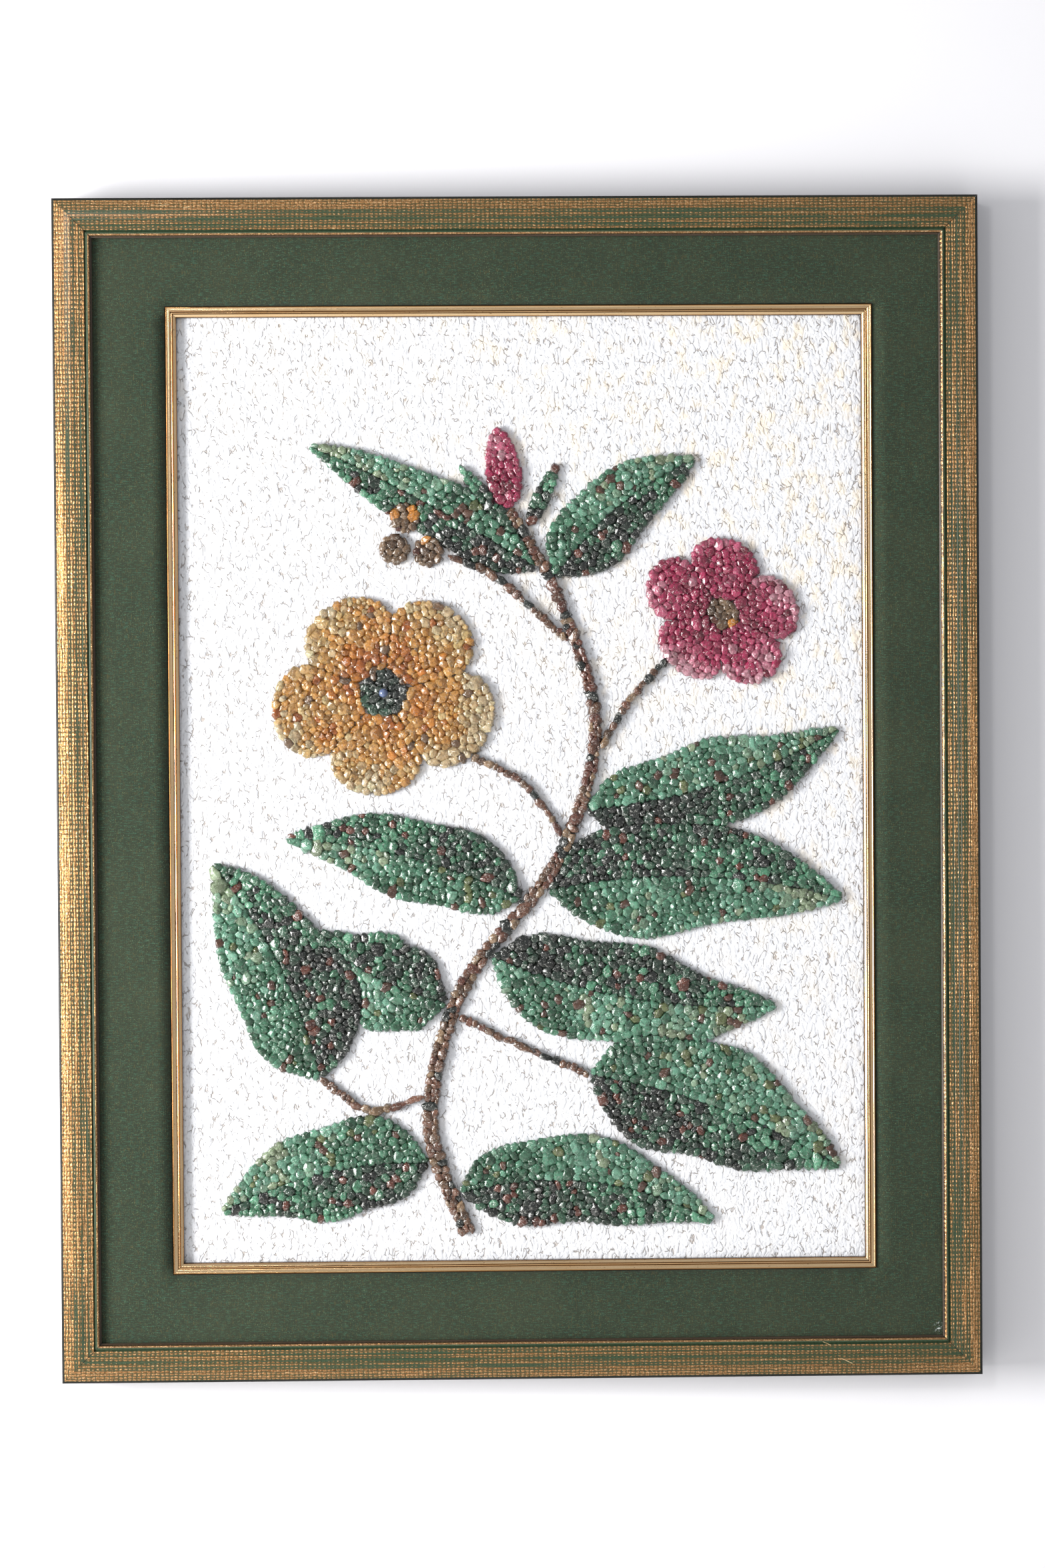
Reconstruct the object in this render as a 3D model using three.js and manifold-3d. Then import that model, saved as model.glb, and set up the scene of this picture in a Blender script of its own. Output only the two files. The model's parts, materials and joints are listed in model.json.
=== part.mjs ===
import * as THREE from 'three';
import { mergeVertices } from 'three/addons/utils/BufferGeometryUtils.js';
import Module from 'manifold-3d';

// A wall picture: gem chips glued to a white board, in a linen mat and a mitred frame.
// Millimetres, +X right, +Z up, the picture faces -Y, the flat back is at Y = 0.
// Depths run from the back of the frame towards the viewer.

// The window that shows the picture, and what surrounds it
const windowWidth = 406;
const windowHeight = 561;
const matLeft = 42.8;
const matRight = 39.4;
const matTop = 40.4;
const matBottom = 40.4;

// Frame rails
const railWidth = 23.3;
const railBackWidth = 14;
const frameDepth = 29;
const railCrown = 0.7;
const railArris = 1;
const beadRadius = 1.5;
const beadDrop = 1.1;
const beadGroove = 0.7;
const lipHeight = 1.7;
const lipDrop = 5.2;
const crownSteps = 6;
const beadSteps = 6;

// Fillet strips around the window
const filletWidth = 6.4;
const filletFlange = 7;
const flangeThickness = 1.5;
const filletProud = 0.9;
const filletBead = 0.65;
const filletInnerHeight = 2.8;
const filletSlopeWidth = 2.7;
const ribDepth = 0.35;
const ribCount = 3;
const filletBeadSteps = 5;

// Boards
const matThickness = 3.2;
const boardThickness = 5;
const rabbetPlay = 1.5;
const clearance = 0.3;

// Gem chips
const chipPitch = 11.3;
const chipLow = 2.4;
const chipHigh = 4.4;
const chipGap = 0.5;
const stemWidth = 10;
const stemTipWidth = 6;
const twigWidth = 5;
const twigStone = 12;
const outlineStep = 11;
const leafTipWidth = 3.2;
const petalCount = 5;
const stoneSides = 5;
const roundSides = 8;
const eyeSides = 10;
const petalEndWidth = 4;

// Proportions of the free forms, as shares of their own size
const chipJitter = 0.4;
const bedMargin = 1.25;
const stemWaist = 0.88;
const stoneOverlap = 0.7;
const stoneTop = 0.6;
const stoneTurn = 0.3;
const stoneUneven = 0.3;
const leafBellyShift = 0.72;
const leafFullness = 0.85;
const leafWave = 0.1;
const petalWidest = 0.62;
const petalNotch = 0.94;
const petalUneven = 0.12;
const dropTaper = 0.35;

const finishes = {
  gildedGreen: { color: 0x8d7a52, roughness: 0.6, metalness: 0.2 },
  linen: { color: 0x3c4a38, roughness: 0.95 },
  gold: { color: 0xb08d4f, roughness: 0.4, metalness: 0.7 },
  plaster: { color: 0xefece4, roughness: 0.9 },
};

const chipRoughness = 0.35;
const chipColors = {
  bark: 0x5b4034,
  twig: 0x65503c,
  amber: 0xc98434,
  raspberry: 0xb83a66,
  smoke: 0x6c5441,
  blackGreen: 0x20302b,
  emerald: 0x3f7f66,
  aqua: 0x7fb69d,
  deepGreen: 0x2c4a3d,
};

const openingWidth = windowWidth + 2 * filletWidth;
const openingHeight = windowHeight + 2 * filletWidth;
const outerWidth = 2 * railWidth + matLeft + openingWidth + matRight;
const outerHeight = 2 * railWidth + matTop + openingHeight + matBottom;
const windowX = (matLeft - matRight) / 2;
const windowY = (matBottom - matTop) / 2;

// Depth of each layer, from the rail's lip back to the board
const lipUnderside = frameDepth - lipDrop;
const matFront = lipUnderside - clearance;
const matBack = matFront - matThickness;
const flangeFront = matBack - clearance;
const flangeBack = flangeFront - flangeThickness;
const boardFront = flangeBack - clearance;
const chipBase = boardFront + clearance;

const wasm = await Module();
wasm.setup();

function toSolid(geometry) {
  const bare = geometry.clone();
  bare.deleteAttribute('normal');
  bare.deleteAttribute('uv');
  const merged = mergeVertices(bare, 1e-4);
  return new wasm.Manifold(new wasm.Mesh({
    numProp: 3,
    vertProperties: new Float32Array(merged.attributes.position.array),
    triVerts: new Uint32Array(merged.index.array),
  }));
}

function toGeometry(solid) {
  const mesh = solid.getMesh();
  const geometry = new THREE.BufferGeometry();
  geometry.setAttribute('position', new THREE.BufferAttribute(mesh.vertProperties, 3));
  geometry.setIndex(new THREE.BufferAttribute(mesh.triVerts, 1));
  geometry.computeVertexNormals();
  return geometry;
}

function finish(look) {
  return new THREE.MeshStandardMaterial({ ...look, flatShading: true });
}

function chipFinish(colorName) {
  return finish({ color: chipColors[colorName], roughness: chipRoughness, metalness: 0 });
}

function addMesh(parent, name, geometry, material) {
  const mesh = new THREE.Mesh(geometry, material);
  mesh.name = name;
  parent.add(mesh);
  return mesh;
}

// A repeatable number between 0 and 1 for each pair of whole numbers
function chance(i, j, seed) {
  const wave = Math.sin(i * 127.1 + j * 311.7 + seed * 74.7) * 43758.5453;
  return wave - Math.floor(wave);
}

// A whole number that is always the same for the same name
function seedOf(name) {
  return [...name].reduce((sum, letter) => (31 * sum + letter.codePointAt(0)) % 1009, 7);
}

function arc(cx, cy, radius, from, to, steps) {
  const points = [];
  for (let i = 0; i <= steps; i++) {
    const angle = from + ((to - from) * i) / steps;
    points.push(new THREE.Vector2(cx + radius * Math.cos(angle), cy + radius * Math.sin(angle)));
  }
  return points;
}

// Sections: x runs inwards from the outer edge, y is the depth from the back
function railSection() {
  const beadX = railWidth - beadRadius - railArris;
  const beadY = frameDepth - beadDrop - beadRadius;
  const faceEnd = beadX - beadRadius - beadGroove / 2;
  const beadFrom = Math.PI * 0.82;
  const points = [
    new THREE.Vector2(0, 0),
    new THREE.Vector2(0, frameDepth - railCrown - railArris),
  ];
  for (let i = 0; i <= crownSteps; i++) {
    const x = railArris + ((faceEnd - railArris) * i) / crownSteps;
    const across = (2 * i) / crownSteps - 1;
    points.push(new THREE.Vector2(x, frameDepth - railCrown * across * across));
  }
  points.push(new THREE.Vector2(faceEnd + beadGroove / 2, beadY + beadRadius - beadGroove));
  points.push(...arc(beadX, beadY, beadRadius, beadFrom, 0, beadSteps));
  points.push(new THREE.Vector2(railWidth, lipUnderside + lipHeight));
  points.push(new THREE.Vector2(railWidth, lipUnderside));
  points.push(new THREE.Vector2(railBackWidth, lipUnderside));
  points.push(new THREE.Vector2(railBackWidth, 0));
  return points;
}

function filletSection() {
  const top = matFront + filletProud;
  const slopeStart = filletWidth - filletSlopeWidth;
  const ribsStart = 2 * filletBead + ribDepth;
  const points = [
    new THREE.Vector2(-filletFlange, flangeBack),
    new THREE.Vector2(-filletFlange, flangeFront),
    new THREE.Vector2(0, flangeFront),
    ...arc(filletBead, top - filletBead, filletBead, Math.PI, 0, filletBeadSteps),
  ];
  const ribsWidth = slopeStart - ribsStart;
  for (let i = 0; i <= 2 * ribCount; i++) {
    const x = ribsStart + (ribsWidth * i) / (2 * ribCount);
    const hollow = i % 2 === 0 ? 2 * ribDepth : ribDepth;
    points.push(new THREE.Vector2(x, top - hollow));
  }
  points.push(new THREE.Vector2(filletWidth, boardFront + filletInnerHeight));
  points.push(new THREE.Vector2(filletWidth, flangeBack));
  return points;
}

// A straight stick of one section, cut at 45 degrees at both ends
function mitredStick(section, length) {
  const geometry = new THREE.ExtrudeGeometry(new THREE.Shape(section), { depth: 1, bevelEnabled: false });
  const position = geometry.attributes.position;
  for (let i = 0; i < position.count; i++) {
    const inward = position.getX(i);
    const depth = position.getY(i);
    const span = length - 2 * inward - clearance * Math.SQRT2;
    position.setXYZ(i, (0.5 - position.getZ(i)) * span, -inward, depth);
  }
  geometry.computeVertexNormals();
  return geometry;
}

function addFourSides(parent, prefix, section, width, height, cx, cy, material) {
  const sides = [
    { side: 'top', turn: 0, length: width, x: 0, y: height / 2 },
    { side: 'left', turn: Math.PI / 2, length: height, x: -width / 2, y: 0 },
    { side: 'bottom', turn: Math.PI, length: width, x: 0, y: -height / 2 },
    { side: 'right', turn: -Math.PI / 2, length: height, x: width / 2, y: 0 },
  ];
  for (const { side, turn, length, x, y } of sides) {
    const stick = addMesh(parent, `${prefix}_${side}`, mitredStick(section, length), material.clone());
    stick.rotation.z = turn;
    stick.position.set(cx + x, cy + y, 0);
  }
}

function addMat(parent) {
  const width = outerWidth - 2 * (railBackWidth + rabbetPlay);
  const height = outerHeight - 2 * (railBackWidth + rabbetPlay);
  const halfX = openingWidth / 2 + clearance;
  const halfY = openingHeight / 2 + clearance;
  const shape = new THREE.Shape([
    new THREE.Vector2(-width / 2, -height / 2),
    new THREE.Vector2(width / 2, -height / 2),
    new THREE.Vector2(width / 2, height / 2),
    new THREE.Vector2(-width / 2, height / 2),
  ]);
  shape.holes.push(new THREE.Path([
    new THREE.Vector2(windowX - halfX, windowY - halfY),
    new THREE.Vector2(windowX - halfX, windowY + halfY),
    new THREE.Vector2(windowX + halfX, windowY + halfY),
    new THREE.Vector2(windowX + halfX, windowY - halfY),
  ]));
  const geometry = new THREE.ExtrudeGeometry(shape, { depth: matThickness, bevelEnabled: false });
  const mat = addMesh(parent, 'linen_mat', geometry, finish(finishes.linen));
  mat.position.z = matBack;

  const board = new THREE.BoxGeometry(width, height, boardThickness);
  const ground = addMesh(parent, 'ground_board', board, finish(finishes.plaster));
  ground.position.z = boardFront - boardThickness / 2;
}

// The rough top of a bed of chips over a rectangle and a little more all round, closed below
function chipField(box, seed) {
  const bottom = -chipLow;
  const columns = Math.ceil((box.max.x - box.min.x) / chipPitch + 2 * bedMargin) + 1;
  const rows = Math.ceil((box.max.y - box.min.y) / chipPitch + 2 * bedMargin) + 1;
  const positions = [];
  for (let j = 0; j < rows; j++) {
    for (let i = 0; i < columns; i++) {
      const shiftX = (j % 2) * 0.5 + chipJitter * (chance(i, j, seed) - 0.5);
      const shiftY = chipJitter * (chance(i, j, seed + 1) - 0.5);
      const height = chipLow + (chipHigh - chipLow) * chance(i, j, seed + 2);
      const x = box.min.x + (i - bedMargin + shiftX) * chipPitch;
      const y = box.min.y + (j - bedMargin + shiftY) * chipPitch;
      positions.push(x, y, height);
    }
  }
  const indices = [];
  const at = (i, j) => j * columns + i;
  for (let j = 0; j < rows - 1; j++) {
    for (let i = 0; i < columns - 1; i++) {
      const [a, b, c, d] = [at(i, j), at(i + 1, j), at(i + 1, j + 1), at(i, j + 1)];
      if (j % 2 === 0) indices.push(a, b, d, b, c, d);
      else indices.push(a, b, c, a, c, d);
    }
  }
  const rim = [];
  for (let i = 0; i < columns - 1; i++) rim.push(at(i, 0));
  for (let j = 0; j < rows - 1; j++) rim.push(at(columns - 1, j));
  for (let i = columns - 1; i > 0; i--) rim.push(at(i, rows - 1));
  for (let j = rows - 1; j > 0; j--) rim.push(at(0, j));
  const low = positions.length / 3;
  for (const v of rim) positions.push(positions[3 * v], positions[3 * v + 1], bottom);
  const middle = positions.length / 3;
  positions.push((box.min.x + box.max.x) / 2, (box.min.y + box.max.y) / 2, bottom);
  for (let k = 0; k < rim.length; k++) {
    const next = (k + 1) % rim.length;
    indices.push(rim[k], low + k, low + next, rim[k], low + next, rim[next]);
    indices.push(middle, low + next, low + k);
  }
  return new wasm.Manifold(new wasm.Mesh({
    numProp: 3,
    vertProperties: new Float32Array(positions),
    triVerts: new Uint32Array(indices),
  }));
}

function prism(outline, height) {
  return toSolid(new THREE.ExtrudeGeometry(new THREE.Shape(outline), { depth: height, bevelEnabled: false }));
}

// The outline pushed outwards by a distance, corner by corner
function grown(outline, distance) {
  const clockwise = THREE.ShapeUtils.isClockWise(outline);
  const sign = clockwise ? -1 : 1;
  return outline.map((point, k) => {
    const before = outline[(k + outline.length - 1) % outline.length];
    const after = outline[(k + 1) % outline.length];
    const a = point.clone().sub(before).normalize();
    const b = after.clone().sub(point).normalize();
    const normal = new THREE.Vector2(a.y + b.y, -(a.x + b.x)).normalize().multiplyScalar(sign);
    const cosine = normal.x * a.y * sign - normal.y * a.x * sign;
    return point.clone().addScaledVector(normal, distance / Math.max(0.5, cosine));
  });
}

const placed = [];

function keepClear(solid, outline) {
  let result = solid;
  const box = new THREE.Box2().setFromPoints(outline);
  for (const other of placed) {
    if (box.intersectsBox(other.box)) result = result.subtract(other.keepOut);
  }
  return result;
}

function remember(outline) {
  const wider = grown(outline, chipGap);
  const keepOut = prism(wider, 3 * chipHigh).translate([0, 0, -chipHigh]);
  placed.push({ box: new THREE.Box2().setFromPoints(wider), keepOut });
}

// One area of chips, cut back from the areas placed before it
function addChips(parent, name, outline, colorName) {
  const field = chipField(new THREE.Box2().setFromPoints(outline), seedOf(name));
  const solid = keepClear(field.intersect(prism(outline, 2 * chipHigh)), outline);
  remember(outline);
  return addMesh(parent, name, toGeometry(solid), chipFinish(colorName));
}

function drawn([x, y]) {
  return new THREE.Vector2((x * windowWidth) / 100, (y * windowHeight) / 100);
}

function share(size) {
  return (size * windowWidth) / 100;
}

// Both edges of a strip along a curve, joined into one outline
function stripOutline(curve, widthAt) {
  const steps = Math.round(curve.getLength() / outlineStep);
  const left = [];
  const right = [];
  for (let i = 0; i <= steps; i++) {
    const t = i / steps;
    const point = curve.getPointAt(t);
    const side = leftOf(curve, t).multiplyScalar(widthAt(t, i) / 2);
    left.push(point.clone().add(side));
    right.unshift(point.clone().sub(side));
  }
  return [...left, ...right];
}

function leftOf(curve, t) {
  const tangent = curve.getTangentAt(t);
  return new THREE.Vector2(-tangent.y, tangent.x);
}

function turned(x, y, angle) {
  return new THREE.Vector2(x, y).rotateAround(new THREE.Vector2(), angle);
}

function stemWidthAt(t) {
  return stemWidth + (stemTipWidth - stemWidth) * t;
}

function addStem(parent, curve) {
  const outline = stripOutline(curve, (t, i) => stemWidthAt(t) * (i % 2 === 0 ? 1 : stemWaist));
  addChips(parent, 'stem', outline, 'bark');
}

// A row of single stones along a curve, each a low block with five sides
function addTwig(parent, name, curve) {
  const seed = seedOf(name);
  const count = Math.max(2, Math.round(curve.getLength() / twigStone));
  const reach = curve.getLength() / count;
  const rims = [];
  let row = null;
  for (let i = 0; i < count; i++) {
    const t = (i + 0.5) / count;
    const point = curve.getPointAt(t);
    const tangent = curve.getTangentAt(t);
    const turn = Math.atan2(tangent.y, tangent.x) + stoneTurn * (chance(i, 3, seed) - 0.5);
    const halfLength = reach * stoneOverlap;
    const halfWidth = (twigWidth / 2) * (1 + stoneUneven * (chance(i, 2, seed) - 0.5));
    const height = chipLow + (chipHigh - chipLow) * chance(i, 1, seed);
    const stone = new THREE.CylinderGeometry(stoneTop, 1, 1, stoneSides);
    stone.rotateX(Math.PI / 2);
    stone.translate(0, 0, 0.5);
    stone.scale(halfLength, halfWidth, height);
    stone.rotateZ(turn);
    stone.translate(point.x, point.y, 0);
    const solid = toSolid(stone);
    row = row ? row.add(solid) : solid;
    const rim = arc(0, 0, 1, 0, 2 * Math.PI, roundSides).slice(1);
    rims.push(rim.map(({ x, y }) => turned(x * halfLength, y * halfWidth, turn).add(point)));
  }
  const result = keepClear(row, rims.flat());
  rims.forEach(remember);
  addMesh(parent, name, toGeometry(result), chipFinish('twig'));
}

// One side of a leaf, between its midrib and its wavy margin
function leafHalf(midrib, side, width, ripples) {
  const fewestSteps = 5;
  const steps = Math.max(fewestSteps, Math.round(midrib.getLength() / outlineStep));
  const inner = [];
  const margin = [];
  for (let i = 0; i <= steps; i++) {
    const t = i / steps;
    const point = midrib.getPointAt(t);
    const out = leftOf(midrib, t).multiplyScalar(side);
    const body = Math.sin(Math.PI * t ** leafBellyShift) ** leafFullness;
    const wave = 1 + leafWave * Math.sin(2 * Math.PI * ripples * t + side);
    const reach = leafTipWidth / 2 + ((width - leafTipWidth) / 2) * body * wave;
    if (i % 2 === 0 || i === steps) inner.push(point.clone().addScaledVector(out, chipGap / 2));
    margin.unshift(point.clone().addScaledVector(out, reach + chipGap / 2));
  }
  return [...inner, ...margin];
}

function addLeaf(parent, leaf, base) {
  const tip = drawn(leaf.tip);
  const along = tip.clone().sub(base);
  const bend = new THREE.Vector2(-along.y, along.x).multiplyScalar(leaf.bow);
  const control = base.clone().add(tip).multiplyScalar(0.5).add(bend);
  const midrib = new THREE.QuadraticBezierCurve(base, control, tip);
  const width = share(leaf.width);
  const lightHalf = leafHalf(midrib, leaf.lightSide, width, leaf.ripples);
  const darkHalf = leafHalf(midrib, -leaf.lightSide, width, leaf.ripples);
  addChips(parent, `${leaf.name}_light`, lightHalf, leaf.light);
  addChips(parent, `${leaf.name}_dark`, darkHalf, leaf.dark);
}

// The edge of a petal that points along +X, from the eye of the flower to a notched tip
function petalOutline(eye, long) {
  const half = Math.PI / petalCount;
  const widest = petalWidest * long;
  const steps = 6;
  const edge = [];
  for (let i = 0; i <= steps; i++) {
    const reach = eye + chipGap + (long - eye - chipGap) * Math.sin((i * Math.PI) / (2 * steps));
    const round = Math.sqrt(Math.max(0, 1 - ((reach - widest) / (long - widest)) ** 2));
    const wide = reach < widest ? reach * Math.tan(half) : widest * Math.tan(half) * round;
    edge.push([reach, Math.max(wide - chipGap / 2, petalEndWidth / 2)]);
  }
  const notch = [long * petalNotch, 0];
  return [...edge, notch, ...edge.map(([x, y]) => [x, -y]).reverse()];
}

// Petals around an eye, turned and foreshortened as one
function addFlower(parent, flower) {
  const seed = seedOf(flower.name);
  const middle = drawn(flower.at);
  const eye = share(flower.eye);
  const place = (point) => turned(point.x, point.y * flower.squash, flower.lean).add(middle);
  const rim = arc(0, 0, eye, 0, 2 * Math.PI, eyeSides).slice(1).map(place);
  addChips(parent, `${flower.name}_center`, rim, flower.heart);
  for (let k = 0; k < petalCount; k++) {
    const turn = flower.turn + (2 * Math.PI * k) / petalCount;
    const long = share(flower.radius) * (1 + petalUneven * (chance(k, 4, seed) - 0.5));
    const outline = petalOutline(eye, long).map(([x, y]) => place(turned(x, y, turn)));
    addChips(parent, `${flower.name}_petal_${k + 1}`, outline, flower.tone);
  }
}

// A drop shape from its base to its tip, for buds and their green cups
function addDrop(parent, name, base, tip, width, colorName) {
  const along = tip.clone().sub(base);
  const steps = 10;
  const outline = [];
  for (let i = 0; i < steps; i++) {
    const angle = (2 * Math.PI * i) / steps;
    const t = 0.5 - 0.5 * Math.cos(angle);
    const wide = (width / 2) * Math.sin(angle) * (1 - dropTaper * t);
    const across = new THREE.Vector2(-along.y, along.x).normalize().multiplyScalar(wide);
    outline.push(base.clone().addScaledVector(along, t).add(across));
  }
  addChips(parent, name, outline, colorName);
}

function curveThrough(points) {
  return new THREE.SplineCurve(points);
}

// Layout of the spray from the middle of the window: places are in hundredths of its width and height,
// widths and radii in hundredths of its width
const stemPoints = [
  [-8.4, -47.1], [-13.8, -35.3], [-8.9, -21], [4.9, -7.8], [10.8, 6.1], [5.9, 19.6], [-1.5, 29.6],
];

const twigs = [
  { name: 'twig_amber_flower', at: 0.56, side: 1, points: [[0, 0.7], [-8.4, 3.9]] },
  { name: 'twig_raspberry_flower', at: 0.68, side: -1, points: [[15.8, 9.3], [21.7, 13.9]] },
  { name: 'twig_lower_left', at: 0.18, side: 1, points: [[-22.7, -33.9], [-29.6, -30.7]] },
  { name: 'twig_lower_right', at: 0.29, side: -1, points: [[-1, -27.1], [9.4, -30.3]] },
  { name: 'twig_berries', at: 0.82, side: 1, points: [[-3.9, 22.6], [-10.3, 24.6]] },
];

const flowers = [
  {
    name: 'amber_flower', at: [-20.2, 10.3], radius: 16.5, eye: 3.2, turn: 0.35,
    squash: 0.94, lean: 0.5, tone: 'amber', heart: 'blackGreen',
  },
  {
    name: 'raspberry_flower', at: [29.6, 18.5], radius: 12.2, eye: 2.2, turn: 0.9,
    squash: 0.86, lean: -0.7, tone: 'raspberry', heart: 'smoke',
  },
];

const drops = [
  { name: 'bud', at: 1, side: 0, tip: [-3.4, 38.4], width: 6.4, color: 'raspberry' },
  { name: 'calyx_left', at: 0.97, side: 1, tip: [-9, 34.4], width: 2.8, color: 'deepGreen' },
  { name: 'calyx_right', at: 0.97, side: -1, tip: [5.6, 34.6], width: 3, color: 'emerald' },
];

const berries = [[-13.5, 25.2], [-18.4, 25.5], [-16.9, 28.8]];
const berryRadius = 2.3;

const leaves = [
  {
    name: 'leaf_foot_right', on: 'stem', at: 0.05, side: -1, tip: [27.6, -46],
    width: 13.3, bow: 0.2, ripples: 2, lightSide: 1, light: 'aqua', dark: 'deepGreen',
  },
  {
    name: 'leaf_foot_left', on: 'stem', at: 0.1, side: 1, tip: [-44.3, -44.6],
    width: 14.3, bow: -0.14, ripples: 2, lightSide: -1, light: 'emerald', dark: 'deepGreen',
  },
  {
    name: 'leaf_low_left', on: 'twig_lower_left', at: 1, side: 0, tip: [-45.3, -7.8],
    width: 17.7, bow: -0.12, ripples: 1.5, lightSide: 1, light: 'aqua', dark: 'deepGreen',
  },
  {
    name: 'leaf_inner_left', on: 'stem', at: 0.3, side: 1, tip: [-31, -15],
    width: 13.8, bow: 0.14, ripples: 2.5, lightSide: 1, light: 'emerald', dark: 'deepGreen',
  },
  {
    name: 'leaf_low_right', on: 'twig_lower_right', at: 1, side: 0, tip: [46.3, -40.3],
    width: 17.7, bow: 0.1, ripples: 2, lightSide: 1, light: 'aqua', dark: 'emerald',
  },
  {
    name: 'leaf_mid_right', on: 'stem', at: 0.38, side: -1, tip: [36.9, -23.2],
    width: 15.3, bow: -0.12, ripples: 2, lightSide: -1, light: 'emerald', dark: 'deepGreen',
  },
  {
    name: 'leaf_broad_right', on: 'stem', at: 0.49, side: -1, tip: [46.8, -11.8],
    width: 16.7, bow: 0.12, ripples: 1.5, lightSide: -1, light: 'aqua', dark: 'deepGreen',
  },
  {
    name: 'leaf_high_right', on: 'stem', at: 0.6, side: -1, tip: [46.3, 6.1],
    width: 13.3, bow: -0.12, ripples: 2, lightSide: 1, light: 'emerald', dark: 'deepGreen',
  },
  {
    name: 'leaf_under_flower', on: 'stem', at: 0.46, side: 1, tip: [-34.5, -5],
    width: 12.3, bow: -0.1, ripples: 2, lightSide: 1, light: 'aqua', dark: 'emerald',
  },
  {
    name: 'leaf_top_right', on: 'stem', at: 0.9, side: -1, tip: [25.6, 34.9],
    width: 11.3, bow: 0.14, ripples: 1.5, lightSide: 1, light: 'emerald', dark: 'deepGreen',
  },
  {
    name: 'leaf_top_left', on: 'stem', at: 0.92, side: 1, tip: [-30.5, 36.4],
    width: 9.2, bow: -0.04, ripples: 1.5, lightSide: -1, light: 'aqua', dark: 'deepGreen',
  },
];

const stemCurve = curveThrough(stemPoints.map(drawn));
const curves = new Map([['stem', stemCurve]]);

// Where something starts that grows from the side of the stem, or from the end of a twig
function growingPoint(on, at, side) {
  const curve = curves.get(on);
  const point = curve.getPointAt(at);
  if (side === 0) return point.addScaledVector(curve.getTangentAt(at), 2 * chipGap);
  return point.addScaledVector(leftOf(curve, at), side * (stemWidthAt(at) / 2 + 2 * chipGap));
}

const picture = new THREE.Group();
picture.rotation.x = Math.PI / 2;
picture.position.z = railBackWidth / 2 - outerHeight / 2;

const rail = finish(finishes.gildedGreen);
const gilt = finish(finishes.gold);
addFourSides(picture, 'frame_rail', railSection(), outerWidth, outerHeight, 0, 0, rail);
addMat(picture);
addFourSides(picture, 'fillet', filletSection(), openingWidth, openingHeight, windowX, windowY, gilt);

const spray = new THREE.Group();
spray.position.set(windowX, windowY, chipBase);
picture.add(spray);

flowers.forEach((flower) => addFlower(spray, flower));
addStem(spray, stemCurve);
twigs.forEach((twig) => {
  const start = growingPoint('stem', twig.at, twig.side);
  const curve = curveThrough([start, ...twig.points.map(drawn)]);
  curves.set(twig.name, curve);
  addTwig(spray, twig.name, curve);
});
drops.forEach((drop) => {
  const base = growingPoint('stem', drop.at, drop.side);
  addDrop(spray, drop.name, base, drawn(drop.tip), share(drop.width), drop.color);
});
berries.forEach((berry, k) => {
  const middle = drawn(berry);
  const rim = arc(middle.x, middle.y, share(berryRadius), 0, 2 * Math.PI, roundSides).slice(1);
  addChips(spray, `berry_${k + 1}`, rim, 'smoke');
});
leaves.forEach((leaf) => addLeaf(spray, leaf, growingPoint(leaf.on, leaf.at, leaf.side)));

const part = new THREE.Group();
part.add(picture);

export default part;
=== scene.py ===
import json
import math

import bmesh
import bpy
import numpy as np
from mathutils import Matrix, Vector

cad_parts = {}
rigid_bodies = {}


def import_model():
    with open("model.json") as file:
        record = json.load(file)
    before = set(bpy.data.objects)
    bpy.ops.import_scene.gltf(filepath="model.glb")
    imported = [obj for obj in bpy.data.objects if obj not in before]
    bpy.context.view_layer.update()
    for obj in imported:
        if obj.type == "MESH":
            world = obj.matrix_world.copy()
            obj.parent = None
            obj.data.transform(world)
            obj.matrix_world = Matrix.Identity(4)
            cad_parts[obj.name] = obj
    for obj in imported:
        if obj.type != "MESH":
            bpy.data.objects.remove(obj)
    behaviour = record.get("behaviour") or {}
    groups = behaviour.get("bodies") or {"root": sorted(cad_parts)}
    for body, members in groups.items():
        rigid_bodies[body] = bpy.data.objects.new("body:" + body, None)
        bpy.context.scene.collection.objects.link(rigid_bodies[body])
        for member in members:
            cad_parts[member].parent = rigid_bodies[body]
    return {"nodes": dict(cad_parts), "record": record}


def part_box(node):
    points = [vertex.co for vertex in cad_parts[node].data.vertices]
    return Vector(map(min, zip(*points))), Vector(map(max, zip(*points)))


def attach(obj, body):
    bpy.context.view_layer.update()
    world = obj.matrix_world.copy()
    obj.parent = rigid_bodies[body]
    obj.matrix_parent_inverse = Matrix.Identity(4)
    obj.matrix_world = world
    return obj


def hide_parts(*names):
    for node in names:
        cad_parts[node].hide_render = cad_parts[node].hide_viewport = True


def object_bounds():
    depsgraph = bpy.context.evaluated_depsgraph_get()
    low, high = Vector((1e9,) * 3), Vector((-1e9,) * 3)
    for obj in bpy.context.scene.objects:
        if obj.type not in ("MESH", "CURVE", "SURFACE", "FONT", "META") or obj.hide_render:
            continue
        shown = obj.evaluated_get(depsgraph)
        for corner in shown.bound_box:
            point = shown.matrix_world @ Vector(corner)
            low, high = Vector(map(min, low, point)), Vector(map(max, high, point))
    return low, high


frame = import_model()  # the solids of the panel in metres: +X right, +Z up, the picture faces -Y
cadBox = [list(corner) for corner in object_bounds()]
print("frame loaded:", len(frame["nodes"]), "solids")

mm = 0.001


# helpers for the shaders
def newMaterial(name, roughness, settings=()):  # settings go by the names of the shader's sockets
    material = bpy.data.materials.new(name)
    material.use_nodes = True
    shader = material.node_tree.nodes["Principled BSDF"]
    shader.inputs["Roughness"].default_value = roughness
    for socket, value in dict(settings).items():
        shader.inputs[socket].default_value = value
    return material, material.node_tree, shader


def feed(tree, socket, value):
    if isinstance(value, bpy.types.NodeSocket):
        tree.links.new(value, socket)
    else:
        socket.default_value = value


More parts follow.
